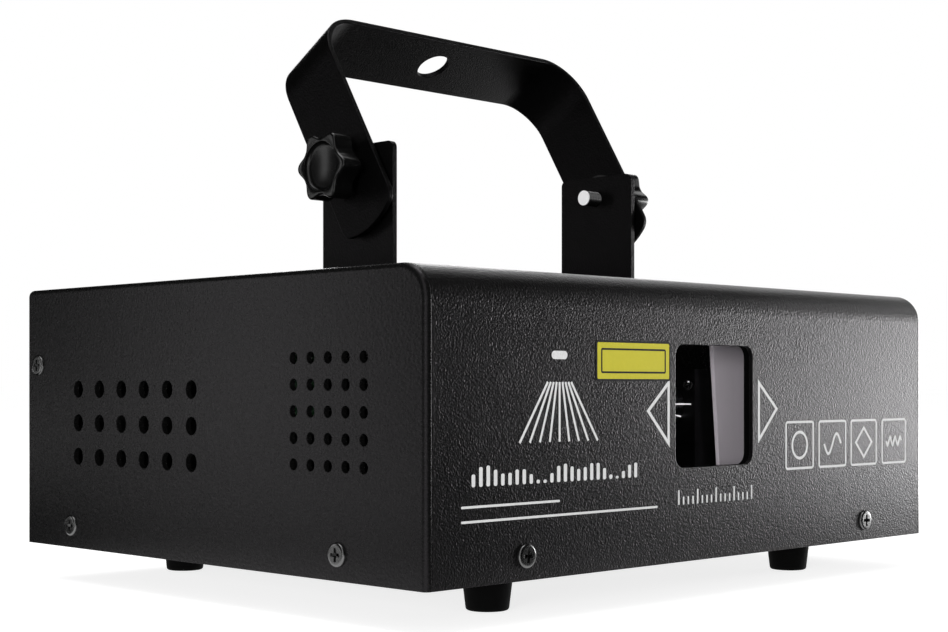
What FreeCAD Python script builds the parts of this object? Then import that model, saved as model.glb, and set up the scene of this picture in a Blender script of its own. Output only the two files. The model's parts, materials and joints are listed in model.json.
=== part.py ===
import FreeCAD, Part
import math
import os

# Laser show projector: a folded steel housing on rubber feet, with a hanging yoke on its roof.
# Lengths are in millimetres and angles in degrees. The origin is on the floor under the middle
# of the housing, +X is right seen from the front, +Y is back and +Z is up.

# Housing sheets
body_width = 264.0
body_depth = 213.0
body_height = 92.0
cover_sheet = 1.5
side_sheet = 2.0
base_sheet = 1.5
rear_sheet = 1.5
front_bend_radius = 10.5
rear_bend_radius = 2.5
flange_bend_radius = 2.5
side_edge_radius = 1.8
seam_gap = 0.3
seat_gap = 0.1
lip_sheet = 1.2
lip_gap = 0.2
lip_depth = 12.0
lip_foot = 22.0
lip_stop = 22.0
rear_return = 12.0
base_flange_height = 12.0
base_flange_setback = 20.0
flange_clearance = 2.0
rear_flange_depth = 14.0

# Side vents, two fields of round holes
small_vent_diameter = 3.7
small_vent_pitch = 8.0
small_vent_count = 5
small_vent_inset = 42.2
small_vent_height = 49.6
big_vent_diameter = 6.0
big_vent_pitch = 13.54
big_vent_row_pitch = 11.8
big_vent_columns = 6
big_vent_rows = 3
big_vent_inset = 144.5
big_vent_height = 44.2

# Housing screws
screw_head_diameter = 7.4
screw_head_height = 2.2
screw_head_chamfer = 0.8
screw_diameter = 4.0
screw_length = 8.0
screw_clearance = 0.25
thread_clearance = 0.05
recess_width = 1.1
recess_span = 4.2
recess_depth = 1.2
side_screw_height = 7.8
side_screw_front_inset = 37.8
side_screw_rear_inset = 30.2
side_screw_upper_inset = 8.0
side_screw_upper_height = 64.6
front_screw_inset = 40.3
front_screw_height = 7.3
return_screw_inset = 30.0

# Small screws of the fan and the sockets
small_head_diameter = 5.6
small_head_height = 1.7
small_head_chamfer = 0.6
small_screw_diameter = 3.0
small_screw_length = 6.0

# Feet
foot_height = 12.0
foot_top_diameter = 16.3
foot_bottom_diameter = 13.4
foot_edge_radius = 1.0
foot_inset_x = 51.0
foot_inset_y = 26.5
foot_sink_diameter = 9.0
foot_sink_depth = 5.0
foot_screw_end = 5.0

# Beam window
window_width = 42.4
window_top_margin = 21.3
window_bottom_margin = 30.5
window_corner_radius = 4.0
window_frame_border = 5.0
window_frame_depth = 2.2
glass_thickness = 2.0
glass_overlap = 3.0
glass_gap = 0.2

# Saddle bracket on the roof
saddle_span = 129.5
saddle_sheet = 2.0
saddle_width = 37.0
saddle_height = 49.4
saddle_corner_radius = 2.5
saddle_bend_radius = 4.0
saddle_screw_x = 45.0
saddle_screw_y = 11.0
pivot_height = 40.5
stiffener_sheet = 2.0
stiffener_margin = 6.0
stiffener_flange = 8.0

# Hanging yoke
yoke_tilt = 30.9
yoke_gap = 2.2
yoke_sheet = 2.0
yoke_width = 28.0
yoke_reach = 59.1
yoke_bend_radius = 18.0
yoke_end_reach = 23.7
yoke_end_radius = 28.0
yoke_corner_radius = 5.0
yoke_edge_radius = 0.4
hang_hole_diameter = 13.0

# Star knobs, their studs and washers
knob_diameter = 25.0
knob_lobes = 6
knob_tip_radius = 2.6
knob_valley_diameter = 19.6
knob_star_length = 8.5
knob_hub_diameter = 14.0
knob_hub_length = 2.9
knob_edge_radius = 1.5
knob_dish_diameter = 16.0
knob_dish_depth = 2.5
stud_diameter = 6.0
stud_grip = 6.0
stud_free_end = 7.5
stud_chamfer = 0.7
stud_pass_clearance = 0.3
washer_diameter = 14.0
washer_thickness = 1.2
friction_washer_diameter = 20.0
friction_washer_clearance = 0.1

# Optical bench
bench_standoff = 8.0
bench_standoff_diameter = 8.0
bench_standoff_inset = 8.0
bench_thickness = 6.0
bench_margin = 8.0
bench_front_margin = 20.0
beam_height = 15.0

# Beam shield, a grey sheet on the bench beside the window's line of sight
shield_sheet = 1.5
shield_bend_radius = 3.0
shield_corner_radius = 3.0
shield_front_inset = 3.0
shield_right_inset = 1.0
shield_foot_width = 6.5
shield_foot_length = 12.0
shield_low_width = 17.6
shield_high_width = 23.3
shield_rise = 8.0

# Laser modules and the mirrors that join their beams
laser_width = 22.0
laser_length = 46.0
laser_height = 26.0
laser_pitch = 26.0
laser_inset = 34.0
laser_edge = 1.5
lens_diameter = 9.0
lens_length = 5.0
lens_bore = 5.0
combiner_gap = 16.0
combiner_size = 12.0
combiner_thickness = 1.5
combiner_mount_thickness = 6.0
combiner_slot_depth = 2.0
heatsink_gap = 2.0
heatsink_length = 24.0
heatsink_base = 5.0
heatsink_height = 30.0
heatsink_fin = 1.5
heatsink_fin_count = 12

# Scanner: two motors that each turn a mirror
scanner_setback = 34.0
scanner_wall = 5.0
scanner_block_length = 20.0
scanner_block_gap = 3.0
galvo_diameter = 15.0
galvo_length = 34.0
galvo_nose_diameter = 8.0
galvo_nose_length = 3.0
galvo_bore_depth = 9.0
galvo_fit_gap = 0.1
scan_shaft_diameter = 3.0
scan_shaft_clearance = 0.05
scan_mirror_thickness = 1.0
scan_mirror_gap = 3.0
x_mirror_length = 10.0
x_mirror_width = 8.0
y_mirror_length = 16.0
y_mirror_width = 10.0
mirror_clamp_length = 4.0
mirror_clamp_width = 5.0
mirror_clamp_thickness = 2.0
mirror_clamp_overlap = 1.5
mirror_end_gap = 0.2

# Boards
board_thickness = 1.6
board_standoff_diameter = 5.0
board_standoff_inset = 3.0
inner_side_margin = 14.0
driver_bench_gap = 13.0
driver_depth = 50.0
driver_standoff = 8.0
driver_front_margin = 14.0
driver_sink_thickness = 4.0
driver_sink_height = 22.0
driver_sink_inset = 5.0
driver_plug_width = 10.0
driver_plug_depth = 6.0
driver_plug_height = 8.0
driver_plug_shares = (0.2, 0.5, 0.8)

# Power supply
supply_gap = 8.0
supply_bench_gap = 7.0
supply_rear_gap = 12.4
supply_height = 38.0
supply_sheet = 1.2
supply_bend_radius = 1.8
supply_vent_width = 3.0
supply_vent_count = 9
supply_vent_margin = 14.0
supply_vent_end = 18.0
supply_board_rise = 4.0
supply_board_margin = 2.0
supply_coil_share = 0.26
supply_coil_height = 26.0
supply_can_diameter_share = 0.21
supply_can_height = 24.0
supply_can_pitch_share = 0.26
supply_part_inset = 12.0

# Fan in the rear panel
fan_clearance = 9.0
fan_depth = 15.0
fan_rim = 1.5
fan_screw_inset = 4.0
fan_corner_radius = 3.0
fan_strut_width = 4.0
fan_strut_thickness = 3.0
fan_boss_diameter = 20.0
fan_hub_diameter = 21.0
fan_hub_gap = 1.0
fan_blade_count = 7
fan_blade_gap = 1.0
fan_blade_chord = 10.0
fan_blade_thickness = 1.2
fan_blade_pitch = 38.0
fan_shaft_diameter = 3.0
fan_slot_count = 3
fan_slot_bridge = 2.2
fan_slot_start = 6.0
fan_slot_bar = 3.5

# Display and menu buttons in the rear panel
control_width = 52.0
control_top_margin = 12.0
control_bottom_margin = 20.0
control_standoff = 10.0
display_width = 38.0
display_height = 17.0
display_drop = 19.0
display_rim = 1.5
display_rim_thickness = 1.5
display_gap = 0.2
display_block_margin = 1.0
button_count = 4
button_pitch = 10.0
button_drop = 24.0
button_diameter = 7.0
button_gap = 0.3
button_rim = 1.0
button_rim_thickness = 1.0
button_proud = 2.0
button_stem_diameter = 3.0
button_travel = 0.8
switch_size = 6.0
switch_height = 3.5

# Mains inlet and power switch in the rear panel
inlet_flange_width = 31.0
inlet_flange_height = 24.0
inlet_flange_thickness = 2.0
inlet_flange_radius = 2.5
inlet_body_width = 27.5
inlet_body_height = 20.0
inlet_body_depth = 21.0
inlet_cavity_width = 24.0
inlet_cavity_height = 16.2
inlet_cavity_depth = 17.0
inlet_cavity_chamfer = 4.5
inlet_gap = 0.2
pin_width = 4.0
pin_thickness = 2.0
pin_spread = 7.0
pin_rise = 4.0
pin_drop = 3.0
pin_recess = 2.0
pin_tail = 6.0
rocker_length = 17.1
rocker_width = 10.4
rocker_gap = 0.3
rocker_crown = 1.0
rocker_end_rise = 2.4
rocker_keel = 5.0
rocker_swing = 9.0
rocker_pivot_radius = 1.2
rocker_pivot_length = 1.0
switch_bezel_border = 2.0
switch_bezel_thickness = 1.5
switch_wall = 1.4
switch_body_depth = 14.0

# Control line sockets in the rear panel
dmx_flange_width = 26.0
dmx_flange_height = 31.0
dmx_flange_thickness = 2.0
dmx_flange_radius = 3.0
dmx_barrel_diameter = 23.4
dmx_barrel_depth = 20.0
dmx_cup_diameter = 19.0
dmx_cup_depth = 15.0
dmx_core_diameter = 15.8
dmx_pin_diameter = 2.4
dmx_pin_circle = 8.6
dmx_pin_recess = 2.0
dmx_pin_tail = 4.0
dmx_gap = 0.2
dmx_screw_inset = 3.8

# Free edge left and right of the row of pieces in the rear panel
rear_margin = 6.5

# One overrun for every cut
overrun = 5.0

# Places that follow from the sizes above
V = FreeCAD.Vector
X_AXIS = V(1, 0, 0)
Y_AXIS = V(0, 1, 0)
Z_AXIS = V(0, 0, 1)
half_width = body_width / 2
front_y = -body_depth / 2
rear_y = body_depth / 2
floor_z = foot_height
top_z = foot_height + body_height
inner_x = half_width - side_sheet - seat_gap
rear_face_y = rear_y - cover_sheet - seat_gap
rear_inner_y = rear_face_y - rear_sheet
base_front_y = front_y + cover_sheet + seat_gap
base_rear_y = rear_inner_y - seat_gap
base_top_z = floor_z + base_sheet
flange_end_x = half_width - lip_depth - flange_clearance
window_height = body_height - window_top_margin - window_bottom_margin
window_z = floor_z + window_bottom_margin + window_height / 2
glass_y = front_y + cover_sheet + window_frame_depth
pivot_z = top_z + pivot_height
arm_inner_x = saddle_span / 2 + yoke_gap
arm_outer_x = arm_inner_x + yoke_sheet
washer_outer_x = arm_outer_x + washer_thickness
stud_pass_radius = stud_diameter / 2 + stud_pass_clearance
bench_top_z = base_top_z + bench_standoff + bench_thickness
beam_z = bench_top_z + beam_height
scanner_y = front_y + scanner_setback
laser_x = [-half_width + laser_inset + laser_pitch * i for i in range(3)]
laser_front_y = scanner_y + combiner_gap
heatsink_front_y = laser_front_y + laser_length + heatsink_gap
x_nose_y = scanner_y + x_mirror_length / 2 + scan_mirror_gap
y_nose_x = y_mirror_length / 2 + scan_mirror_gap
x_block_y = x_nose_y + galvo_nose_length + scanner_block_gap
y_block_x = y_nose_x + galvo_nose_length + scanner_block_gap
bench_left_x = laser_x[0] - laser_width / 2 - bench_margin
bench_right_x = y_block_x + scanner_block_length + bench_margin
bench_front_y = scanner_y - bench_front_margin
bench_rear_y = heatsink_front_y + heatsink_length + bench_margin
inner_right_x = half_width - inner_side_margin
driver_width = inner_right_x - bench_right_x - driver_bench_gap
driver_front_y = front_y + driver_front_margin
driver_z = base_top_z + driver_standoff
supply_front_y = driver_front_y + driver_depth + supply_gap
supply_rear_y = rear_face_y - inlet_body_depth - pin_tail - supply_rear_gap
supply_width = inner_right_x - bench_right_x - supply_bench_gap
supply_length = supply_rear_y - supply_front_y
supply_vent_pitch = (supply_length - supply_vent_end * 2) / (supply_vent_count - 1)
supply_coil_size = supply_length * supply_coil_share
supply_can_diameter = supply_width * supply_can_diameter_share
supply_can_pitch = supply_width * supply_can_pitch_share
rear_low_z = floor_z + base_flange_height
rear_high_z = top_z - rear_return
fan_size = rear_high_z - rear_low_z - fan_clearance * 2
fan_bore = fan_size - fan_rim * 2
fan_screw_spacing = fan_size - fan_screw_inset * 2
fan_slot_pitch = (fan_bore / 2 - fan_slot_start) / fan_slot_count
fan_slot_width = fan_slot_pitch - fan_slot_bridge
switch_opening_width = rocker_width + rocker_gap * 2
switch_opening_height = rocker_length + rocker_gap * 2
switch_body_width = switch_opening_width + switch_wall * 2
switch_body_height = switch_opening_height + switch_wall * 2
switch_bezel_width = switch_body_width + switch_bezel_border * 2
switch_bezel_height = switch_body_height + switch_bezel_border * 2


def spread(low, high, widths):
    """Centres of pieces of these widths, with one gap before, between and after them."""
    gap = (high - low - sum(widths)) / (len(widths) + 1)
    starts = [low + gap * (i + 1) + sum(widths[:i]) for i in range(len(widths))]
    return [start + width / 2 for start, width in zip(starts, widths)]


fan_x, control_x, dmx_in_x, dmx_out_x, inlet_x = spread(
    rear_margin - half_width,
    half_width - rear_margin,
    [fan_size, control_width, dmx_flange_width, dmx_flange_width, inlet_flange_width],
)
inlet_z, switch_z = spread(rear_low_z, rear_high_z, [inlet_flange_height, switch_bezel_height])
fan_z = dmx_z = (rear_low_z + rear_high_z) / 2
control_board_height = body_height - control_top_margin - control_bottom_margin
control_y = rear_inner_y - control_standoff
control_z = floor_z + control_bottom_margin + control_board_height / 2
display_z = rear_high_z - display_drop
button_z = display_z - button_drop
button_x = [control_x + button_pitch * (i - (button_count - 1) / 2) for i in range(button_count)]
clear_radius = screw_diameter / 2 + screw_clearance
tapped_radius = screw_diameter / 2 + thread_clearance
small_clear_radius = small_screw_diameter / 2 + screw_clearance
small_tapped_radius = small_screw_diameter / 2 + thread_clearance


# Flat places: each turns (u, v) into a point
def side_plane(x):
    return lambda u, v: V(x, u, v)


def front_plane(y):
    return lambda u, v: V(u, y, v)


def floor_plane(z):
    return lambda u, v: V(u, v, z)


def unit(u, v):
    length = math.hypot(u, v)
    return u / length, v / length


def rounded_wire(corners, place):
    """A closed wire through corners (u, v, radius), each rounded by a tangent arc."""
    count = len(corners)
    stretches = []
    for i, (u, v, radius) in enumerate(corners):
        before = corners[i - 1]
        after = corners[(i + 1) % count]
        back = unit(before[0] - u, before[1] - v)
        ahead = unit(after[0] - u, after[1] - v)
        half = math.acos(back[0] * ahead[0] + back[1] * ahead[1]) / 2
        reach = radius / math.tan(half)
        start = (u + back[0] * reach, v + back[1] * reach)
        end = (u + ahead[0] * reach, v + ahead[1] * reach)
        inward = unit(back[0] + ahead[0], back[1] + ahead[1])
        depth = radius / math.sin(half) - radius
        middle = (u + inward[0] * depth, v + inward[1] * depth)
        stretches.append((start, middle, end, radius))
    edges = []
    for i, (start, middle, end, radius) in enumerate(stretches):
        if radius > 0:
            edges.append(Part.Arc(place(*start), place(*middle), place(*end)).toShape())
        following = stretches[(i + 1) % count][0]
        if not place(*end).isEqual(place(*following), Part.Precision.confusion()):
            edges.append(Part.LineSegment(place(*end), place(*following)).toShape())
    return Part.Wire(edges)


def rounded_face(corners, place):
    return Part.Face(rounded_wire(corners, place))


def rectangle(u, v, width, height, radius=0):
    """The corners of a rectangle centred on (u, v)."""
    left = u - width / 2
    right = u + width / 2
    low = v - height / 2
    high = v + height / 2
    return [(left, low, radius), (right, low, radius), (right, high, radius), (left, high, radius)]


def folded_strip(path, thickness, place):
    """The section of a bent sheet. Its outer skin follows the path, and it lies to the right of it."""
    points = [(u, v) for u, v, radius in path]
    normals = []
    for (u0, v0), (u1, v1) in zip(points, points[1:]):
        du, dv = unit(u1 - u0, v1 - v0)
        normals.append((dv, -du))
    inner = []
    for i, (u, v, radius) in enumerate(path):
        first = normals[max(i - 1, 0)]
        second = normals[min(i, len(normals) - 1)]
        scale = thickness / (1 + first[0] * second[0] + first[1] * second[1])
        shifted_u = u + (first[0] + second[0]) * scale
        shifted_v = v + (first[1] + second[1]) * scale
        inner.append((shifted_u, shifted_v, max(radius - thickness, 0)))
    return rounded_face(path + inner[::-1], place)


# Solids
def block(x, y, z):
    """A box between pairs of limits."""
    return Part.makeBox(x[1] - x[0], y[1] - y[0], z[1] - z[0], V(x[0], y[0], z[0]))


def rod(radius, start, end):
    return Part.makeCylinder(radius, (end - start).Length, start, end - start)


def around(centre, size):
    return centre - size / 2, centre + size / 2


def through_x(radius, x, y, z):
    """A drill along X past both faces of whatever stands near x."""
    return rod(radius, V(x - overrun, y, z), V(x + overrun, y, z))


def through_y(radius, x, y, z):
    return rod(radius, V(x, y - overrun, z), V(x, y + overrun, z))


def through_z(radius, x, y, z):
    return rod(radius, V(x, y, z - overrun), V(x, y, z + overrun))


def fused(*shapes):
    return shapes[0].multiFuse(list(shapes[1:])).removeSplitter()


def turned(outline, place=side_plane(0)):
    """A solid of revolution about Z from (radius, height, rounding) corners."""
    face = rounded_face(outline, place)
    return face.revolve(V(0, 0, 0), Z_AXIS, 360)


def aimed(shape, place, direction):
    """Turns a shape made along +Z so that it points along the direction from the place."""
    moved = shape.copy()
    moved.Placement = FreeCAD.Placement(place, FreeCAD.Rotation(Z_AXIS, direction))
    return moved


def mirrored(shape):
    return shape.mirror(V(0, 0, 0), X_AXIS)


def save(name, *solids):
    shape = solids[0] if len(solids) == 1 else Part.makeCompound(list(solids))
    shape.exportStep("parts/" + name + ".step")
    print(name, len(shape.Solids), "solids, valid" if shape.isValid() else "solids, NOT VALID")


def screw(head_diameter, head_height, head_chamfer, diameter, length):
    """A pan-head screw along +Z with its head's seat at zero and a cross recess."""
    head_radius = head_diameter / 2
    chamfer_z = head_height - head_chamfer
    outline = [
        (0, -length, 0),
        (diameter / 2, -length, 0),
        (diameter / 2, 0, 0),
        (head_radius, 0, 0),
        (head_radius, chamfer_z, 0),
        (head_radius - head_chamfer, head_height, 0),
        (0, head_height, 0),
    ]
    share = head_diameter / screw_head_diameter
    span = around(0, recess_span * share)
    slot = around(0, recess_width * share)
    depth = (head_height - recess_depth * share, head_height + overrun)
    return turned(outline).cut([block(span, slot, depth), block(slot, span, depth)])


def housing_screw(length=screw_length):
    return screw(screw_head_diameter, screw_head_height, screw_head_chamfer, screw_diameter, length)


def small_screw(length=small_screw_length):
    return screw(small_head_diameter, small_head_height, small_head_chamfer, small_screw_diameter, length)


# Places of the screws
side_screw_places = [
    (front_y + side_screw_front_inset, floor_z + side_screw_height),
    (rear_y - side_screw_rear_inset, floor_z + side_screw_height),
    (rear_y - side_screw_upper_inset, floor_z + side_screw_upper_height),
]
front_screw_x = half_width - front_screw_inset
front_screw_z = floor_z + front_screw_height
return_screw_x = half_width - return_screw_inset
return_screw_z = top_z - rear_return / 2
saddle_screw_places = [
    (x, y) for x in (-saddle_screw_x, saddle_screw_x) for y in (-saddle_screw_y, saddle_screw_y)
]
foot_places = [
    (x, y)
    for x in (foot_inset_x - half_width, half_width - foot_inset_x)
    for y in (front_y + foot_inset_y, rear_y - foot_inset_y)
]
fan_screw_places = [
    (fan_x + x, fan_z + z)
    for x in around(0, fan_screw_spacing)
    for z in around(0, fan_screw_spacing)
]
dmx_screw_x = dmx_flange_width / 2 - dmx_screw_inset
dmx_screw_z = dmx_flange_height / 2 - dmx_screw_inset
dmx_screw_places = [
    (x + side * dmx_screw_x, dmx_z + side * dmx_screw_z)
    for x in (dmx_in_x, dmx_out_x)
    for side in (-1, 1)
]


# Side panel: a flat plate with rounded edges, and a lip that backs the cover's edges
def side_panel():
    outline = [
        (front_y, floor_z, 0),
        (front_y, top_z, front_bend_radius),
        (rear_y, top_z, rear_bend_radius),
        (rear_y, floor_z, 0),
    ]
    plate = rounded_face(outline, side_plane(-half_width)).extrude(X_AXIS * side_sheet)
    rim = []
    for edge in plate.Edges:
        on_outer_face = edge.BoundBox.XMax < side_sheet / 2 - half_width
        if on_outer_face and edge.BoundBox.ZMax > floor_z + side_sheet:
            rim.append(edge)
    plate = plate.makeFillet(side_edge_radius, rim)
    lip_inset = cover_sheet + lip_gap
    lip_path = [
        (front_y + lip_inset, floor_z + lip_foot, 0),
        (front_y + lip_inset, top_z - lip_inset, front_bend_radius - lip_inset),
        (rear_y - lip_stop, top_z - lip_inset, 0),
    ]
    lip_start = side_plane(side_sheet / 2 - half_width)
    lip = folded_strip(lip_path, lip_sheet, lip_start).extrude(X_AXIS * (lip_depth - side_sheet / 2))
    drills = [through_x(clear_radius, -half_width, y, z) for y, z in side_screw_places]
    drills += vents(small_vent_diameter, small_vent_inset, small_vent_height,
                    small_vent_pitch, small_vent_pitch, small_vent_count, small_vent_count)
    drills += vents(big_vent_diameter, big_vent_inset, big_vent_height,
                    big_vent_pitch, big_vent_row_pitch, big_vent_columns, big_vent_rows)
    return fused(plate, lip).cut(drills)


def vents(diameter, inset, height, pitch, row_pitch, columns, rows):
    """The drills of one field of vents, in columns along Y and rows along Z."""
    drills = []
    for column in range(columns):
        y = front_y + inset + pitch * (column - (columns - 1) / 2)
        for row in range(rows):
            z = floor_z + height + row_pitch * (row - (rows - 1) / 2)
            drills.append(through_x(diameter / 2, -half_width, y, z))
    return drills


# Cover: front, roof and a short return at the rear, folded from one sheet
def front_top_cover():
    path = [
        (front_y, floor_z, 0),
        (front_y, top_z, front_bend_radius),
        (rear_y, top_z, rear_bend_radius),
        (rear_y, top_z - rear_return, 0),
    ]
    edge_x = half_width - side_sheet - seam_gap
    sheet = folded_strip(path, cover_sheet, side_plane(-edge_x)).extrude(X_AXIS * (edge_x * 2))
    opening = rectangle(0, window_z, window_width, window_height, window_corner_radius)
    cuts = [rounded_face(opening, front_plane(front_y - overrun)).extrude(Y_AXIS * (overrun * 2))]
    for side in (-1, 1):
        cuts.append(through_y(clear_radius, side * front_screw_x, front_y, front_screw_z))
    for side in (-1, 0, 1):
        cuts.append(through_y(clear_radius, side * return_screw_x, rear_y, return_screw_z))
    for x, y in saddle_screw_places:
        cuts.append(through_z(clear_radius, x, y, top_z))
    return sheet.cut(cuts)


# Base tray with flanges on all four sides
def base_tray():
    flange_z = floor_z + base_flange_height
    across = [
        (inner_x, flange_z, 0),
        (inner_x, floor_z, flange_bend_radius),
        (-inner_x, floor_z, flange_bend_radius),
        (-inner_x, flange_z, 0),
    ]
    along = [
        (base_rear_y, flange_z, 0),
        (base_rear_y, floor_z, flange_bend_radius),
        (base_front_y, floor_z, flange_bend_radius),
        (base_front_y, flange_z, 0),
    ]
    flange_front_y = front_y + base_flange_setback
    flange_length = body_depth - base_flange_setback * 2
    sides = folded_strip(across, base_sheet, front_plane(flange_front_y)).extrude(Y_AXIS * flange_length)
    ends = folded_strip(along, base_sheet, side_plane(-flange_end_x)).extrude(X_AXIS * (flange_end_x * 2))
    floor = block(
        (flange_bend_radius - inner_x, inner_x - flange_bend_radius),
        (base_front_y + flange_bend_radius, base_rear_y - flange_bend_radius),
        (floor_z, base_top_z),
    )
    drills = []
    for y, z in side_screw_places[:2]:
        drills += [through_x(tapped_radius, side * inner_x, y, z) for side in (-1, 1)]
    for side in (-1, 1):
        for y in (base_front_y, base_rear_y):
            drills.append(through_y(tapped_radius, side * front_screw_x, y, front_screw_z))
    drills += [through_z(tapped_radius, x, y, floor_z) for x, y in foot_places]
    return fused(sides, ends, floor).cut(drills)


# Rear panel with side flanges and the openings for fan, display, buttons and sockets
def rear_panel():
    flange_y = rear_face_y - rear_flange_depth
    path = [
        (-inner_x, flange_y, 0),
        (-inner_x, rear_face_y, flange_bend_radius),
        (inner_x, rear_face_y, flange_bend_radius),
        (inner_x, flange_y, 0),
    ]
    height = body_height - max(rear_bend_radius, cover_sheet) - seat_gap
    sheet = folded_strip(path, rear_sheet, floor_plane(floor_z)).extrude(Z_AXIS * height)
    cuts = fan_slots()
    for x, z in fan_screw_places:
        cuts.append(through_y(small_clear_radius, x, rear_inner_y, z))
    for x, z in dmx_screw_places:
        cuts.append(through_y(small_tapped_radius, x, rear_inner_y, z))
    for x in (dmx_in_x, dmx_out_x):
        cuts.append(through_y(dmx_barrel_diameter / 2 + dmx_gap, x, rear_inner_y, dmx_z))
    for x in button_x:
        cuts.append(through_y(button_diameter / 2 + button_gap, x, rear_inner_y, button_z))
    cuts.append(panel_hole(control_x, display_z, display_width, display_height, display_gap))
    cuts.append(panel_hole(inlet_x, inlet_z, inlet_body_width, inlet_body_height, inlet_gap))
    cuts.append(panel_hole(inlet_x, switch_z, switch_body_width, switch_body_height, inlet_gap))
    for side in (-1, 0, 1):
        cuts.append(through_y(tapped_radius, side * return_screw_x, rear_face_y, return_screw_z))
    for side in (-1, 1):
        cuts.append(through_y(clear_radius, side * front_screw_x, rear_face_y, front_screw_z))
    y, z = side_screw_places[2]
    cuts += [through_x(tapped_radius, side * inner_x, y, z) for side in (-1, 1)]
    return sheet.cut(cuts)


def panel_hole(x, z, width, height, gap):
    """A cut through the rear panel for a body of this size with a gap all round."""
    outline = rectangle(x, z, width + gap * 2, height + gap * 2)
    face = rounded_face(outline, front_plane(rear_inner_y - overrun))
    return face.extrude(Y_AXIS * (overrun * 2 + rear_sheet))


def fan_slots():
    """Rings of curved slots, bridged by two crossed bars."""
    start = V(fan_x, rear_inner_y - overrun, fan_z)
    end = V(fan_x, rear_face_y + overrun, fan_z)
    bars = []
    for angle in (45, 135):
        bar = block(around(fan_x, fan_size), (start.y, end.y), around(fan_z, fan_slot_bar))
        bar.rotate(start, Y_AXIS, angle)
        bars.append(bar)
    slots = []
    for i in range(fan_slot_count):
        inner = fan_slot_start + fan_slot_pitch * i
        ring = rod(inner + fan_slot_width, start, end).cut(rod(inner, start, end))
        slots.append(ring.cut(bars))
    return slots


# Feet: tapered rubber with a sunk screw
def foot(x, y):
    wide = foot_top_diameter / 2
    narrow = foot_bottom_diameter / 2
    hole = screw_diameter / 2 + screw_clearance
    sink = foot_sink_diameter / 2
    outline = [
        (sink, 0, 0),
        (narrow, 0, foot_edge_radius),
        (wide, foot_height, 0),
        (hole, foot_height, 0),
        (hole, foot_sink_depth, 0),
        (sink, foot_sink_depth, 0),
    ]
    shape = turned(outline)
    shape.translate(V(x, y, 0))
    return shape


def foot_screw(x, y):
    length = foot_height - foot_sink_depth + base_sheet + foot_screw_end
    return aimed(housing_screw(length), V(x, y, foot_sink_depth), -Z_AXIS)


# Window: a moulded frame glued behind the front sheet, with the glass in a rebate
def window_frame():
    outer = rectangle(0, window_z, window_width + window_frame_border * 2,
                      window_height + window_frame_border * 2, window_corner_radius)
    opening = rectangle(0, window_z, window_width, window_height, window_corner_radius)
    rebate = window_pane(glass_gap)
    depth = window_frame_depth + glass_thickness
    front = front_y + cover_sheet
    solid = rounded_face(outer, front_plane(front)).extrude(Y_AXIS * depth)
    hole = rounded_face(opening, front_plane(front - overrun)).extrude(Y_AXIS * (depth + overrun))
    seat = rounded_face(rebate, front_plane(glass_y)).extrude(Y_AXIS * (glass_thickness + overrun))
    return solid.cut([hole, seat])


def window_pane(gap):
    grow = (glass_overlap + gap) * 2
    return rectangle(0, window_z, window_width + grow, window_height + grow, window_corner_radius)


def window_glass():
    return rounded_face(window_pane(0), front_plane(glass_y)).extrude(Y_AXIS * glass_thickness)


# Saddle bracket: a wide U on the roof whose uprights carry the yoke
def saddle_bracket():
    reach = saddle_span / 2
    crest = top_z + saddle_height
    path = [
        (reach, crest, 0),
        (reach, top_z, saddle_bend_radius),
        (-reach, top_z, saddle_bend_radius),
        (-reach, crest, 0),
    ]
    strap = folded_strip(path, saddle_sheet, front_plane(-saddle_width / 2)).extrude(Y_AXIS * saddle_width)
    outline = [
        (-saddle_width / 2, top_z, 0),
        (saddle_width / 2, top_z, 0),
        (saddle_width / 2, crest, saddle_corner_radius),
        (-saddle_width / 2, crest, saddle_corner_radius),
    ]
    trim = rounded_face(outline, side_plane(-saddle_span)).extrude(X_AXIS * (saddle_span * 2))
    drills = [through_x(stud_diameter / 2 + thread_clearance, side * reach, 0, pivot_z) for side in (-1, 1)]
    drills += [through_z(clear_radius, x, y, top_z) for x, y in saddle_screw_places]
    return strap.common(trim).cut(drills)


def roof_stiffener():
    """A channel under the roof that takes the saddle's screws."""
    under = top_z - cover_sheet
    reach_x = saddle_span / 2 + stiffener_margin
    reach_y = saddle_width / 2 + stiffener_margin
    path = [
        (-reach_y, under - stiffener_flange, 0),
        (-reach_y, under, flange_bend_radius),
        (reach_y, under, flange_bend_radius),
        (reach_y, under - stiffener_flange, 0),
    ]
    channel = folded_strip(path, stiffener_sheet, side_plane(-reach_x)).extrude(X_AXIS * (reach_x * 2))
    return channel.cut([through_z(tapped_radius, x, y, under) for x, y in saddle_screw_places])


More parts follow.
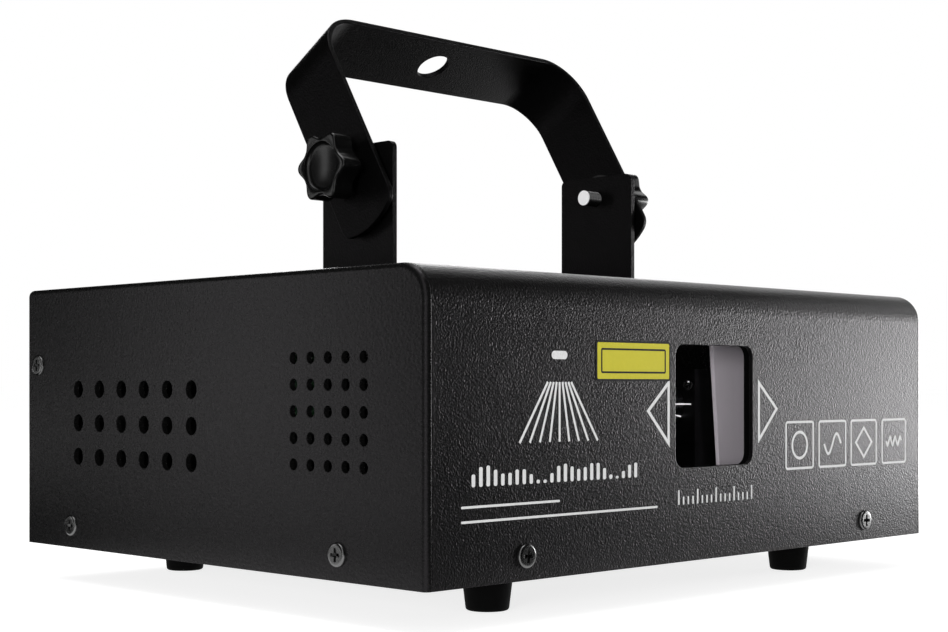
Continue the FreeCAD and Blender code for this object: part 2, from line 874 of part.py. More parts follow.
# Yoke: a strap bent to a U, tilted back about the pivot
def yoke():
    half = yoke_width / 2
    low = pivot_z - yoke_end_reach
    high = pivot_z + yoke_reach
    path = [
        (-arm_outer_x, low, 0),
        (-arm_outer_x, high, yoke_bend_radius),
        (arm_outer_x, high, yoke_bend_radius),
        (arm_outer_x, low, 0),
    ]
    strap = folded_strip(path, yoke_sheet, front_plane(-half)).extrude(Y_AXIS * yoke_width)
    shoulder = low + yoke_end_radius - math.sqrt(yoke_end_radius ** 2 - half ** 2)
    place = side_plane(-arm_outer_x - overrun)
    tongue = Part.Wire([
        Part.Arc(place(-half, shoulder), place(0, low), place(half, shoulder)).toShape(),
        Part.LineSegment(place(half, shoulder), place(half, high)).toShape(),
        Part.LineSegment(place(half, high), place(-half, high)).toShape(),
        Part.LineSegment(place(-half, high), place(-half, shoulder)).toShape(),
    ])
    trim = Part.Face(tongue).extrude(X_AXIS * ((arm_outer_x + overrun) * 2))
    corners = [edge for edge in trim.Edges
               if edge.BoundBox.XLength > yoke_sheet and edge.BoundBox.Center.z < pivot_z]
    strap = strap.common(trim.makeFillet(min(yoke_corner_radius, half / 2), corners))
    strap = strap.makeFillet(min(yoke_edge_radius, yoke_sheet / 3), long_edges(strap, half))
    drills = [through_x(stud_pass_radius, side * arm_outer_x, 0, pivot_z) for side in (-1, 1)]
    drills.append(through_z(hang_hole_diameter / 2, 0, 0, high))
    return tilted(strap.cut(drills))


def long_edges(strap, half):
    """The edges that run along both sides of the strap."""
    flat = yoke_sheet / 2
    edges = []
    for edge in strap.Edges:
        box = edge.BoundBox
        across = box.XLength > flat or box.ZLength > flat
        if across and box.YLength < flat and abs(box.Center.y) > half - flat:
            if edge.Length > yoke_sheet * 2:
                edges.append(edge)
    return edges


def tilted(shape):
    moved = shape.copy()
    moved.rotate(V(0, 0, pivot_z), X_AXIS, -yoke_tilt)
    return moved


def friction_washer(side):
    start = V(side * arm_inner_x, 0, pivot_z)
    end = V(side * (saddle_span / 2 + friction_washer_clearance), 0, pivot_z)
    return rod(friction_washer_diameter / 2, start, end).cut(rod(stud_pass_radius, start, end))


# Knobs: a lobed star with a dished face on a round hub
def knob(side):
    radius = knob_diameter / 2
    length = knob_hub_length + knob_star_length
    hub = knob_hub_diameter / 2
    dish = knob_dish_diameter / 2
    envelope = turned([
        (0, 0, 0),
        (hub, 0, 0),
        (hub, knob_hub_length, 0),
        (radius, knob_hub_length, 0),
        (radius, length, knob_edge_radius),
        (0, length, 0),
    ])
    bowl_radius = (dish ** 2 + knob_dish_depth ** 2) / (2 * knob_dish_depth)
    bowl = Part.makeSphere(bowl_radius, V(0, 0, length - knob_dish_depth + bowl_radius))
    star = Part.Face(star_wire()).extrude(Z_AXIS * length)
    bore = rod(stud_diameter / 2 + thread_clearance, V(0, 0, -overrun), V(0, 0, stud_grip))
    solid = star.common(envelope).cut([bowl, bore])
    return aimed(solid, V(side * washer_outer_x, 0, pivot_z), X_AXIS * side)


def star_wire():
    """Round tips joined by scallops that touch both neighbours and the valley circle."""
    tip = knob_tip_radius
    valley = knob_valley_diameter / 2
    tip_centre = knob_diameter / 2 - tip
    half_angle = math.pi / knob_lobes
    cosine = math.cos(half_angle)
    scallop = (tip_centre ** 2 + valley ** 2 - 2 * tip_centre * valley * cosine - tip ** 2)
    scallop = scallop / (2 * (tip - valley + tip_centre * cosine))
    scallop_centre = valley + scallop
    meet = V(scallop_centre * cosine - tip_centre, scallop_centre * math.sin(half_angle), 0)
    meet = V(tip_centre, 0, 0) + meet * (tip / meet.Length)
    meet_radius = meet.Length
    meet_angle = math.atan2(meet.y, meet.x)

    def at(radius, angle):
        return V(radius * math.cos(angle), radius * math.sin(angle), 0)

    edges = []
    for lobe in range(knob_lobes):
        angle = 2 * half_angle * lobe
        start = at(meet_radius, angle - meet_angle)
        end = at(meet_radius, angle + meet_angle)
        after = at(meet_radius, angle + 2 * half_angle - meet_angle)
        edges.append(Part.Arc(start, at(knob_diameter / 2, angle), end).toShape())
        edges.append(Part.Arc(end, at(valley, angle + half_angle), after).toShape())
    return Part.Wire(edges)


def knob_stud(side):
    length = washer_outer_x + stud_grip - (saddle_span / 2 - saddle_sheet - stud_free_end)
    radius = stud_diameter / 2
    stud = turned([
        (0, 0, 0),
        (radius, 0, 0),
        (radius, length - stud_chamfer, 0),
        (radius - stud_chamfer, length, 0),
        (0, length, 0),
    ])
    return aimed(stud, V(side * (washer_outer_x + stud_grip), 0, pivot_z), X_AXIS * -side)


def knob_washer(side):
    start = V(side * arm_outer_x, 0, pivot_z)
    end = V(side * washer_outer_x, 0, pivot_z)
    return rod(washer_diameter / 2, start, end).cut(rod(stud_pass_radius, start, end))


# Optical bench and its standoffs
def optical_bench():
    return block(
        (bench_left_x, bench_right_x),
        (bench_front_y, bench_rear_y),
        (bench_top_z - bench_thickness, bench_top_z),
    )


def standoff(diameter, start, end):
    return rod(diameter / 2, start, end)


def bench_standoffs():
    inset = bench_standoff_inset
    posts = []
    for x in (bench_left_x + inset, bench_right_x - inset):
        for y in (bench_front_y + inset, bench_rear_y - inset):
            foot_point = V(x, y, base_top_z)
            posts.append(standoff(bench_standoff_diameter, foot_point, foot_point + Z_AXIS * bench_standoff))
    return posts


# Beam shield: a screen with a leaning edge, bent from one sheet with the foot that holds it
def beam_shield():
    right = bench_right_x - shield_right_inset
    front = bench_front_y + shield_front_inset
    low = bench_top_z + shield_bend_radius
    crest = window_z + window_height / 2 + shield_rise
    outline = [
        (right - shield_low_width, low, 0),
        (right, low, 0),
        (right, crest, shield_corner_radius),
        (right - shield_high_width, crest, shield_corner_radius),
    ]
    screen = rounded_face(outline, front_plane(front)).extrude(Y_AXIS * shield_sheet)
    foot_path = [
        (front + shield_foot_length, bench_top_z, 0),
        (front, bench_top_z, shield_bend_radius),
        (front, window_z, 0),
    ]
    foot_start = side_plane(right - shield_foot_width)
    foot_strip = folded_strip(foot_path, shield_sheet, foot_start).extrude(X_AXIS * shield_foot_width)
    return fused(screen, foot_strip)


# Laser modules, the mirrors that join their beams, and the heatsink behind them
def laser_module(x):
    outline = rectangle(x, bench_top_z + laser_height / 2, laser_width, laser_height, laser_edge)
    body = rounded_face(outline, front_plane(laser_front_y)).extrude(Y_AXIS * laser_length)
    face = V(x, laser_front_y, beam_z)
    nose = rod(lens_diameter / 2, face - Y_AXIS * lens_length, face)
    bore = rod(lens_bore / 2, face - Y_AXIS * (lens_length + overrun), face)
    return fused(body, nose).cut(bore)


def combiner_mirror(x):
    plate = block(
        around(x, combiner_size),
        around(scanner_y, combiner_thickness),
        around(beam_z, combiner_size),
    )
    plate.rotate(V(x, scanner_y, beam_z), Z_AXIS, -45)
    return plate


def combiner_mount(x):
    low = beam_z - combiner_size / 2
    mount = block(
        around(x, combiner_size),
        around(scanner_y, combiner_mount_thickness),
        (bench_top_z, low + combiner_slot_depth),
    )
    slot = block(
        around(x, combiner_size + overrun * 2),
        around(scanner_y, combiner_thickness + seat_gap * 2),
        (low, low + overrun),
    )
    mount = mount.cut(slot)
    mount.rotate(V(x, scanner_y, beam_z), Z_AXIS, -45)
    return mount


def laser_heatsink():
    left = laser_x[0] - laser_width / 2
    right = laser_x[-1] + laser_width / 2
    depth = (heatsink_front_y, heatsink_front_y + heatsink_length)
    base = block((left, right), depth, (bench_top_z, bench_top_z + heatsink_base))
    fins = []
    pitch = (right - left - heatsink_fin) / (heatsink_fin_count - 1)
    for i in range(heatsink_fin_count):
        x = left + pitch * i
        fins.append(block((x, x + heatsink_fin), depth, (bench_top_z, bench_top_z + heatsink_height)))
    return fused(base, *fins)


# Scanner: one block that clamps two motors at right angles
def scanner_block():
    wall = galvo_diameter / 2 + scanner_wall
    rear = x_block_y + scanner_block_length
    right = y_block_x + scanner_block_length
    lower = block((-wall, right), (x_block_y, rear), (bench_top_z, beam_z + wall))
    upper = block((y_block_x, right), (scanner_y - wall, rear), (bench_top_z, window_z + wall))
    bore = galvo_diameter / 2 + galvo_fit_gap
    x_bore = rod(bore, V(0, x_block_y - overrun, beam_z), V(0, rear + overrun, beam_z))
    y_bore = rod(bore, V(y_block_x - overrun, scanner_y, window_z), V(right + overrun, scanner_y, window_z))
    return fused(lower, upper).cut([x_bore, y_bore])


def galvo_motor():
    """A motor along +Z whose nose starts at zero, with a bore for the mirror's shaft."""
    nose = galvo_nose_diameter / 2
    body = galvo_diameter / 2
    bore = scan_shaft_diameter / 2 + scan_shaft_clearance
    return turned([
        (bore, 0, 0),
        (nose, 0, 0),
        (nose, galvo_nose_length, 0),
        (body, galvo_nose_length, 0),
        (body, galvo_nose_length + galvo_length, 0),
        (0, galvo_nose_length + galvo_length, 0),
        (0, galvo_bore_depth, 0),
        (bore, galvo_bore_depth, 0),
    ])


def scan_mirror(length, width):
    """A thin mirror along +X whose back lies on the plane of the axis, facing +Z."""
    return block(around(0, length), around(0, width), (0, scan_mirror_thickness))


def scan_shaft(length):
    """The shaft along +X that carries a mirror of this length by a clamp at its back."""
    end = length / 2
    clamp = block(
        (end - mirror_clamp_length, end + mirror_clamp_overlap),
        around(0, mirror_clamp_width),
        (-mirror_clamp_thickness, 0),
    )
    tail = end + scan_mirror_gap + galvo_bore_depth - seam_gap
    shaft = rod(scan_shaft_diameter / 2, V(end + mirror_end_gap, 0, 0), V(tail, 0, 0))
    return fused(clamp, shaft)


def faced(shape, place, along, facing):
    """Puts a shape whose axis is +X and whose face is +Z at the place."""
    moved = shape.copy()
    rotation = FreeCAD.Rotation(along, facing.cross(along), facing, "XZY")
    moved.Placement = FreeCAD.Placement(place, rotation)
    return moved


# Boards
def driver_board():
    left = inner_right_x - driver_width
    rear = driver_front_y + driver_depth
    top = driver_z + board_thickness
    board = block((left, inner_right_x), (driver_front_y, rear), (driver_z, top))
    sink_y = rear - driver_sink_inset
    sink = block(
        (left, inner_right_x),
        (sink_y - driver_sink_thickness, sink_y),
        (top, top + driver_sink_height),
    )
    plug_y = driver_front_y + driver_sink_inset
    plugs = []
    for share in driver_plug_shares:
        x = left + driver_width * share
        plugs.append(block(
            around(x, driver_plug_width),
            (plug_y, plug_y + driver_plug_depth),
            (top, top + driver_plug_height),
        ))
    return [board, sink] + plugs


def driver_standoffs():
    inset = board_standoff_inset
    posts = []
    for x in (inner_right_x - driver_width + inset, inner_right_x - inset):
        for y in (driver_front_y + inset, driver_front_y + driver_depth - inset):
            posts.append(standoff(board_standoff_diameter, V(x, y, base_top_z), V(x, y, driver_z)))
    return posts


def control_board():
    """A board behind the display with a display block and one switch per button."""
    front = control_y - board_thickness
    board = block(
        around(control_x, control_width),
        (front, control_y),
        around(control_z, control_board_height),
    )
    block_end = rear_inner_y - display_rim_thickness
    digits = block(
        around(control_x, display_width - display_block_margin * 2),
        (control_y, block_end),
        around(display_z, display_height - display_block_margin * 2),
    )
    switches = []
    for x in button_x:
        switches.append(block(
            around(x, switch_size),
            (control_y, control_y + switch_height),
            around(button_z, switch_size),
        ))
    return [board, digits] + switches


def control_standoffs():
    reach_x = control_width / 2 - board_standoff_inset
    reach_z = control_board_height / 2 - board_standoff_inset
    posts = []
    for x in (control_x - reach_x, control_x + reach_x):
        for z in (control_z - reach_z, control_z + reach_z):
            posts.append(standoff(board_standoff_diameter, V(x, control_y, z), V(x, rear_inner_y, z)))
    return posts


# Power supply: a folded tray, a slotted cover and a board with its large parts
def supply_limits():
    left = inner_right_x - supply_width
    return left, inner_right_x, supply_front_y, supply_front_y + supply_length


def power_supply_case():
    left, right, front, rear = supply_limits()
    high = base_top_z + supply_height - max(supply_bend_radius, supply_sheet) - seat_gap
    path = [
        (right, high, 0),
        (right, base_top_z, supply_bend_radius),
        (left, base_top_z, supply_bend_radius),
        (left, high, 0),
    ]
    return folded_strip(path, supply_sheet, front_plane(front)).extrude(Y_AXIS * supply_length)


def power_supply_cover():
    left, right, front, rear = supply_limits()
    high = base_top_z + supply_height
    low = base_top_z + supply_bend_radius
    path = [
        (front - supply_sheet - seat_gap, low, 0),
        (front - supply_sheet - seat_gap, high, supply_bend_radius),
        (rear + supply_sheet + seat_gap, high, supply_bend_radius),
        (rear + supply_sheet + seat_gap, low, 0),
    ]
    cover = folded_strip(path, supply_sheet, side_plane(left)).extrude(X_AXIS * supply_width)
    slots = []
    for i in range(supply_vent_count):
        y = front + supply_length / 2 + supply_vent_pitch * (i - (supply_vent_count - 1) / 2)
        slots.append(block(
            (left + supply_vent_margin, right - supply_vent_margin),
            around(y, supply_vent_width),
            around(high, overrun * 2),
        ))
    return cover.cut(slots)


def power_supply_board():
    left, right, front, rear = supply_limits()
    low = base_top_z + supply_sheet + supply_board_rise
    top = low + board_thickness
    edge = supply_sheet + supply_board_margin
    board = block((left + edge, right - edge), (front + edge, rear - edge), (low, top))
    posts = []
    for x in (left + edge + board_standoff_inset, right - edge - board_standoff_inset):
        for y in (front + edge + board_standoff_inset, rear - edge - board_standoff_inset):
            posts.append(standoff(board_standoff_diameter, V(x, y, low - supply_board_rise), V(x, y, low)))
    coil_x = (left + right) / 2
    coil_y = (front + rear) / 2
    coil = block(
        around(coil_x, supply_coil_size),
        around(coil_y, supply_coil_size),
        (top, top + supply_coil_height),
    )
    cans = []
    for y in (front + edge + supply_part_inset, rear - edge - supply_part_inset):
        for i in (-1, 0, 1):
            x = coil_x + supply_can_pitch * i
            cans.append(rod(supply_can_diameter / 2, V(x, y, top), V(x, y, top + supply_can_height)))
    return [board, coil] + posts + cans


# Fan: a square frame whose struts carry the motor boss, and a bladed rotor
def fan_frame():
    front = rear_inner_y - fan_depth
    outline = rectangle(fan_x, fan_z, fan_size, fan_size, fan_corner_radius)
    solid = rounded_face(outline, front_plane(front)).extrude(Y_AXIS * fan_depth)
    start = V(fan_x, front, fan_z)
    strut_end = V(fan_x, front + fan_strut_thickness, fan_z)
    tunnel = rod(fan_bore / 2, start - Y_AXIS * overrun, start + Y_AXIS * (fan_depth + overrun))
    drills = []
    for x, z in fan_screw_places:
        drills.append(rod(small_tapped_radius, V(x, front - overrun, z), V(x, rear_inner_y + overrun, z)))
    ring = solid.cut([tunnel] + drills)
    boss = rod(fan_boss_diameter / 2, start, strut_end)
    struts = []
    for span in ((fan_bore, fan_strut_width), (fan_strut_width, fan_bore)):
        cross = block(around(fan_x, span[0]), (start.y, strut_end.y), around(fan_z, span[1]))
        struts.append(cross)
    post_end = V(fan_x, front + fan_depth / 2, fan_z)
    post = rod(fan_shaft_diameter, start, post_end)
    bore = rod(fan_shaft_diameter / 2 + scan_shaft_clearance, strut_end, post_end + Y_AXIS * overrun)
    return fused(ring, boss, post, *struts).cut(bore)


def fan_rotor():
    front = rear_inner_y - fan_depth + fan_strut_thickness + fan_hub_gap
    rear = rear_inner_y - fan_hub_gap
    hub_radius = fan_hub_diameter / 2
    start = V(fan_x, front, fan_z)
    end = V(fan_x, rear, fan_z)
    middle = (start + end) / 2
    tip = fan_bore / 2 - fan_blade_gap
    blades = []
    for i in range(fan_blade_count):
        blade = block(
            (fan_x + hub_radius - fan_blade_thickness, fan_x + tip + overrun),
            around(middle.y, fan_blade_thickness),
            around(fan_z, fan_blade_chord),
        )
        blade.rotate(middle, X_AXIS, fan_blade_pitch)
        blade.rotate(middle, Y_AXIS, 360 / fan_blade_count * i)
        blades.append(blade.common(rod(tip, start, end)))
    hub = fused(rod(hub_radius, start, end), *blades)
    post_end = V(fan_x, rear_inner_y - fan_depth / 2, fan_z)
    well = rod(fan_shaft_diameter + fan_hub_gap, start - Y_AXIS * overrun, post_end + Y_AXIS * seam_gap)
    shaft_start = V(fan_x, front + seam_gap, fan_z)
    shaft = rod(fan_shaft_diameter / 2, shaft_start, end)
    return fused(hub.cut(well), shaft)


# Display window and menu buttons
def display_window():
    back_y = rear_inner_y - display_rim_thickness
    pane = block(around(control_x, display_width), (back_y, rear_face_y), around(display_z, display_height))
    rim_width = display_width + display_rim * 2
    rim_height = display_height + display_rim * 2
    rim = block(around(control_x, rim_width), (back_y, rear_inner_y), around(display_z, rim_height))
    return fused(pane, rim)


def menu_button(x):
    rim_end = seat_gap + button_rim_thickness
    stem_end = control_standoff - switch_height - button_travel - seat_gap
    shape = turned([
        (0, -rear_sheet - button_proud, 0),
        (button_diameter / 2, -rear_sheet - button_proud, button_rim / 2),
        (button_diameter / 2, seat_gap, 0),
        (button_diameter / 2 + button_rim, seat_gap, 0),
        (button_diameter / 2 + button_rim, rim_end, 0),
        (button_stem_diameter / 2, rim_end, 0),
        (button_stem_diameter / 2, stem_end, 0),
        (0, stem_end, 0),
    ])
    return aimed(shape, V(x, rear_inner_y, button_z), -Y_AXIS)


# Mains inlet: a flanged housing with a keyed cavity and three blades
def mains_inlet():
    flange = rectangle(inlet_x, inlet_z, inlet_flange_width, inlet_flange_height, inlet_flange_radius)
    plate = rounded_face(flange, front_plane(rear_face_y)).extrude(Y_AXIS * inlet_flange_thickness)
    mouth_y = rear_face_y + inlet_flange_thickness
    body_y = (rear_face_y - inlet_body_depth, rear_face_y)
    body = block(around(inlet_x, inlet_body_width), body_y, around(inlet_z, inlet_body_height))
    half = inlet_cavity_width / 2
    low = inlet_z - inlet_cavity_height / 2
    high = inlet_z + inlet_cavity_height / 2
    cavity = [
        (inlet_x - half, low, 0),
        (inlet_x + half, low, 0),
        (inlet_x + half, high - inlet_cavity_chamfer, 0),
        (inlet_x + half - inlet_cavity_chamfer, high, 0),
        (inlet_x - half + inlet_cavity_chamfer, high, 0),
        (inlet_x - half, high - inlet_cavity_chamfer, 0),
    ]
    hollow = rounded_face(cavity, front_plane(mouth_y - inlet_cavity_depth))
    hollow = hollow.extrude(Y_AXIS * (inlet_cavity_depth + overrun))
    slots = [pin_blade(x, z, seat_gap) for x, z in pin_places]
    return fused(plate, body).cut([hollow] + slots)


pin_places = [
    (inlet_x, inlet_z + pin_rise),
    (inlet_x - pin_spread, inlet_z - pin_drop),
    (inlet_x + pin_spread, inlet_z - pin_drop),
]


def pin_blade(x, z, gap=0):
    end_y = rear_face_y + inlet_flange_thickness - pin_recess
    start_y = rear_face_y - inlet_body_depth - pin_tail
    return block(around(x, pin_thickness + gap * 2), (start_y, end_y), around(z, pin_width + gap * 2))


# Power switch: a bezel and body, and a rocker on two stub pivots
def power_switch_frame():
    outline = rectangle(inlet_x, switch_z, switch_bezel_width, switch_bezel_height, switch_bezel_border)
    bezel = rounded_face(outline, front_plane(rear_face_y)).extrude(Y_AXIS * switch_bezel_thickness)
    depth = (rear_face_y - switch_body_depth, rear_face_y)
    body = block(around(inlet_x, switch_body_width), depth, around(switch_z, switch_body_height))
    hollow = block(
        around(inlet_x, switch_opening_width),
        (depth[0] + switch_wall, rear_face_y + overrun),
        around(switch_z, switch_opening_height),
    )
    pivot = rocker_pivots(rocker_pivot_radius + thread_clearance, rocker_pivot_length + rocker_gap)
    return fused(bezel, body).cut([hollow, pivot])


def rocker_pivots(radius, length):
    reach = rocker_width / 2 + length
    return rod(radius, V(inlet_x - reach, rear_face_y - rocker_pivot_radius * 2, switch_z),
               V(inlet_x + reach, rear_face_y - rocker_pivot_radius * 2, switch_z))


def power_rocker():
    """A round-ended paddle with a shallow V face, resting with its upper end pressed."""
    radius = rocker_length / 2
    centre_y = rear_face_y - rocker_pivot_radius * 2
    start = V(inlet_x - rocker_width / 2, centre_y, switch_z)
    drum = rod(radius, start, start + X_AXIS * rocker_width)
    face_y = rear_face_y + rocker_crown
    end_y = rear_face_y + rocker_end_rise
    paddle = rounded_face([
        (centre_y - rocker_keel, switch_z - radius, 0),
        (end_y, switch_z - radius, 0),
        (face_y, switch_z, 0),
        (end_y, switch_z + radius, 0),
        (centre_y - rocker_keel, switch_z + radius, 0),
    ], side_plane(start.x)).extrude(X_AXIS * rocker_width)
    rocker = fused(drum.common(paddle), rocker_pivots(rocker_pivot_radius, rocker_pivot_length))
    rocker.rotate(start, X_AXIS, rocker_swing)
    return rocker


# Control line sockets: a flanged barrel, one with pins and one with a pierced core
def dmx_shell(x):
    flange = rectangle(x, dmx_z, dmx_flange_width, dmx_flange_height, dmx_flange_radius)
    plate = rounded_face(flange, front_plane(rear_face_y)).extrude(Y_AXIS * dmx_flange_thickness)
    seat = V(x, rear_face_y, dmx_z)
    barrel = rod(dmx_barrel_diameter / 2, seat - Y_AXIS * dmx_barrel_depth, seat)
    mouth = seat + Y_AXIS * dmx_flange_thickness
    cup = rod(dmx_cup_diameter / 2, mouth - Y_AXIS * dmx_cup_depth, mouth + Y_AXIS * overrun)
    drills = [through_y(small_clear_radius, sx, rear_face_y, sz) for sx, sz in dmx_screw_places]
    return fused(plate, barrel).cut([cup] + drills)


def dmx_pin(x, angle, gap=0):
    turn = math.radians(angle)
    px = x + dmx_pin_circle / 2 * math.cos(turn)
    pz = dmx_z + dmx_pin_circle / 2 * math.sin(turn)
    start = V(px, rear_face_y - dmx_barrel_depth - dmx_pin_tail, pz)
    end = V(px, rear_face_y + dmx_flange_thickness - dmx_pin_recess, pz)
    return rod(dmx_pin_diameter / 2 + gap, start, end)


dmx_pin_angles = (0, 180, 270)


def dmx_input_socket():
    return dmx_shell(dmx_in_x).cut([dmx_pin(dmx_in_x, angle, seat_gap) for angle in dmx_pin_angles])


def dmx_output_socket():
    seat = V(dmx_out_x, rear_face_y, dmx_z)
    bottom = seat + Y_AXIS * (dmx_flange_thickness - dmx_cup_depth)
    core = rod(dmx_core_diameter / 2, bottom - Y_AXIS * seat_gap, seat)
    wells = []
    for angle in dmx_pin_angles:
        reach = rod(dmx_cup_diameter, bottom, bottom + Y_AXIS * dmx_barrel_depth)
        wells.append(dmx_pin(dmx_out_x, angle, seat_gap).common(reach))
    return fused(dmx_shell(dmx_out_x), core).cut(wells)


os.makedirs("parts", exist_ok=True)

# Housing
left_panel = side_panel()
save("left_side_panel", left_panel)
save("right_side_panel", mirrored(left_panel))
save("front_top_cover", front_top_cover())
save("base_tray", base_tray())
save("rear_panel", rear_panel())
save("side_panel_screws", *[
    aimed(housing_screw(), V(side * half_width, y, z), X_AXIS * side)
    for side in (-1, 1) for y, z in side_screw_places
])
save("front_cover_screws", *[
    aimed(housing_screw(), V(side * front_screw_x, front_y, front_screw_z), -Y_AXIS) for side in (-1, 1)
])
return_screws = [
    aimed(housing_screw(), V(side * return_screw_x, rear_y, return_screw_z), Y_AXIS) for side in (-1, 0, 1)
]
tray_screws = [
    aimed(housing_screw(), V(side * front_screw_x, rear_face_y, front_screw_z), Y_AXIS) for side in (-1, 1)
]
save("rear_panel_screws", *return_screws, *tray_screws)
save("rubber_feet", *[foot(x, y) for x, y in foot_places])
save("foot_screws", *[foot_screw(x, y) for x, y in foot_places])
save("window_frame", window_frame())
save("window_glass", window_glass())

# Saddle, yoke and knobs
save("saddle_bracket", saddle_bracket())
save("roof_stiffener", roof_stiffener())
save("saddle_screws", *[
    aimed(housing_screw(), V(x, y, top_z + saddle_sheet), Z_AXIS) for x, y in saddle_screw_places
])
save("hanging_yoke", yoke())
save("friction_washers", friction_washer(-1), friction_washer(1))
for side, label in ((-1, "left"), (1, "right")):
    save(label + "_knob", knob(side))
    save(label + "_knob_stud", knob_stud(side))
    save(label + "_knob_washer", knob_washer(side))

# Laser engine
save("optical_bench", optical_bench())
save("beam_shield", beam_shield())
save("board_standoffs", *bench_standoffs(), *driver_standoffs(), *control_standoffs())
for x, colour in zip(laser_x, ("red", "green", "blue")):
    save(colour + "_laser_module", laser_module(x))
save("combiner_mirrors", *[combiner_mirror(x) for x in laser_x])
save("combiner_mounts", *[combiner_mount(x) for x in laser_x])
save("laser_heatsink", laser_heatsink())

# Scanner
save("scanner_block", scanner_block())
save("x_scanner_motor", aimed(galvo_motor(), V(0, x_nose_y, beam_z), Y_AXIS))
save("y_scanner_motor", aimed(galvo_motor(), V(y_nose_x, scanner_y, window_z), X_AXIS))
x_place = V(0, scanner_y, beam_z)
y_place = V(0, scanner_y, window_z)
save("x_scan_mirror", faced(scan_mirror(x_mirror_length, x_mirror_width), x_place, Y_AXIS, V(-1, 0, 1)))
save("x_scan_shaft", faced(scan_shaft(x_mirror_length), x_place, Y_AXIS, V(-1, 0, 1)))
save("y_scan_mirror", faced(scan_mirror(y_mirror_length, y_mirror_width), y_place, X_AXIS, V(0, -1, -1)))
save("y_scan_shaft", faced(scan_shaft(y_mirror_length), y_place, X_AXIS, V(0, -1, -1)))

# Electronics
save("scanner_driver_board", *driver_board())
save("control_board", *control_board())
save("power_supply_case", power_supply_case())
save("power_supply_cover", power_supply_cover())
save("power_supply_board", *power_supply_board())

# Rear panel pieces
save("fan_frame", fan_frame())
save("fan_rotor", fan_rotor())
save("fan_screws", *[aimed(small_screw(), V(x, rear_face_y, z), Y_AXIS) for x, z in fan_screw_places])
save("display_window", display_window())
for x, label in zip(button_x, ("enter", "up", "down", "menu")):
    save(label + "_button", menu_button(x))
save("mains_inlet", mains_inlet())
save("mains_inlet_pins", *[pin_blade(x, z) for x, z in pin_places])
save("power_switch_frame", power_switch_frame())
save("power_rocker", power_rocker())
save("dmx_input_socket", dmx_input_socket())
save("dmx_input_pins", *[dmx_pin(dmx_in_x, angle) for angle in dmx_pin_angles])
save("dmx_output_socket", dmx_output_socket())
save("socket_screws", *[
    aimed(small_screw(), V(x, rear_face_y + dmx_flange_thickness, z), Y_AXIS) for x, z in dmx_screw_places
])
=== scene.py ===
# %% [markdown]
# # A laser show projector, dressed for its photograph
# The housing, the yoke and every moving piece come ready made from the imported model.
# This lesson gives each surface its finish, rebuilds the small turned and moulded
# pieces as smooth meshes, adds the prints, and sets up the studio.
# The pieces' lengths are in millimetres until a mesh is made, because that is how a
# sheet metal maker thinks; one line turns them into metres. The studio is in metres.

# %% Load the frame
import json
import math

import bpy
import numpy as np
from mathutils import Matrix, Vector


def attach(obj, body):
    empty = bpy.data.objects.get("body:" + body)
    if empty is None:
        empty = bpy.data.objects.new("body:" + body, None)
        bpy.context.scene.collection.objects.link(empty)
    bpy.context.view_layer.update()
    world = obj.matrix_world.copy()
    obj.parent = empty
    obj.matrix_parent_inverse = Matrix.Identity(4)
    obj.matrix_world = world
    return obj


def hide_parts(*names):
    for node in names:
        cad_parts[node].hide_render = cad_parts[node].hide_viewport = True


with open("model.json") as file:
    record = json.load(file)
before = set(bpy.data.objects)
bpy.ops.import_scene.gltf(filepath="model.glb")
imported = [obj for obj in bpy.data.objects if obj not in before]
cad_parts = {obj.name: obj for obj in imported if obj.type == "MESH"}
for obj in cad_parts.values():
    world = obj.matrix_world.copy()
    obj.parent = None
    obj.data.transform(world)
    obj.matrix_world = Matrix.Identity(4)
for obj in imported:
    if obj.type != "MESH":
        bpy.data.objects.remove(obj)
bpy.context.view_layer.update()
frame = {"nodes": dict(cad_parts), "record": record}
nodes = frame["nodes"]

# %% [markdown]
# ## Shader maths as plain Python
# A finish is a recipe such as "grain height = cells + a little noise". Building that by
# clicking nodes, or with ten lines of links per node, hides the recipe. A small class that
# wraps one socket and overloads + and * lets the recipe be written as an expression, and one
# method makes every other kind of node from its type, its settings and its inputs.

# %% The socket wrapper
class Shade:
    """One value or colour inside a material; sums and products of it add Math nodes."""

    def __init__(self, tree, socket):
        self.tree = tree
        self.socket = socket

    def node(self, kind, settings=None, inputs=None, output=0):
        """Adds a node of this kind: settings first, then input values or links."""
        made = self.tree.nodes.new(kind)
        for name, value in (settings or {}).items():
            setattr(made, name, value)
        for key, value in (inputs or {}).items():
            if isinstance(value, Shade):
                self.tree.links.new(value.socket, made.inputs[key])
            else:
                made.inputs[key].default_value = value
        return Shade(self.tree, made.outputs[output])

    def math(self, operation, first, second=0.0):
        return self.node("ShaderNodeMath", {"operation": operation}, {0: first, 1: second})

    def __add__(self, other):
        return self.math("ADD", self, other)

    __radd__ = __add__

    def __mul__(self, other):
        return self.math("MULTIPLY", self, other)

    __rmul__ = __mul__


print("socket wrapper ready")

# %% [markdown]
# ## The start of every finish
# Each material begins with the same three things: the shader, the object's own
# coordinates, and a few helpers for noise, cells and bump. Object coordinates are in
# metres here, so a texture scale of 1000 means one pattern step per millimetre.
# Numbers that stay the same all over a surface are set on the shader itself.

# %% Helpers for finishes
PER_MM = 1000.0
CELL_SOFTNESS = 0.35
EDGE_SAMPLES = 4


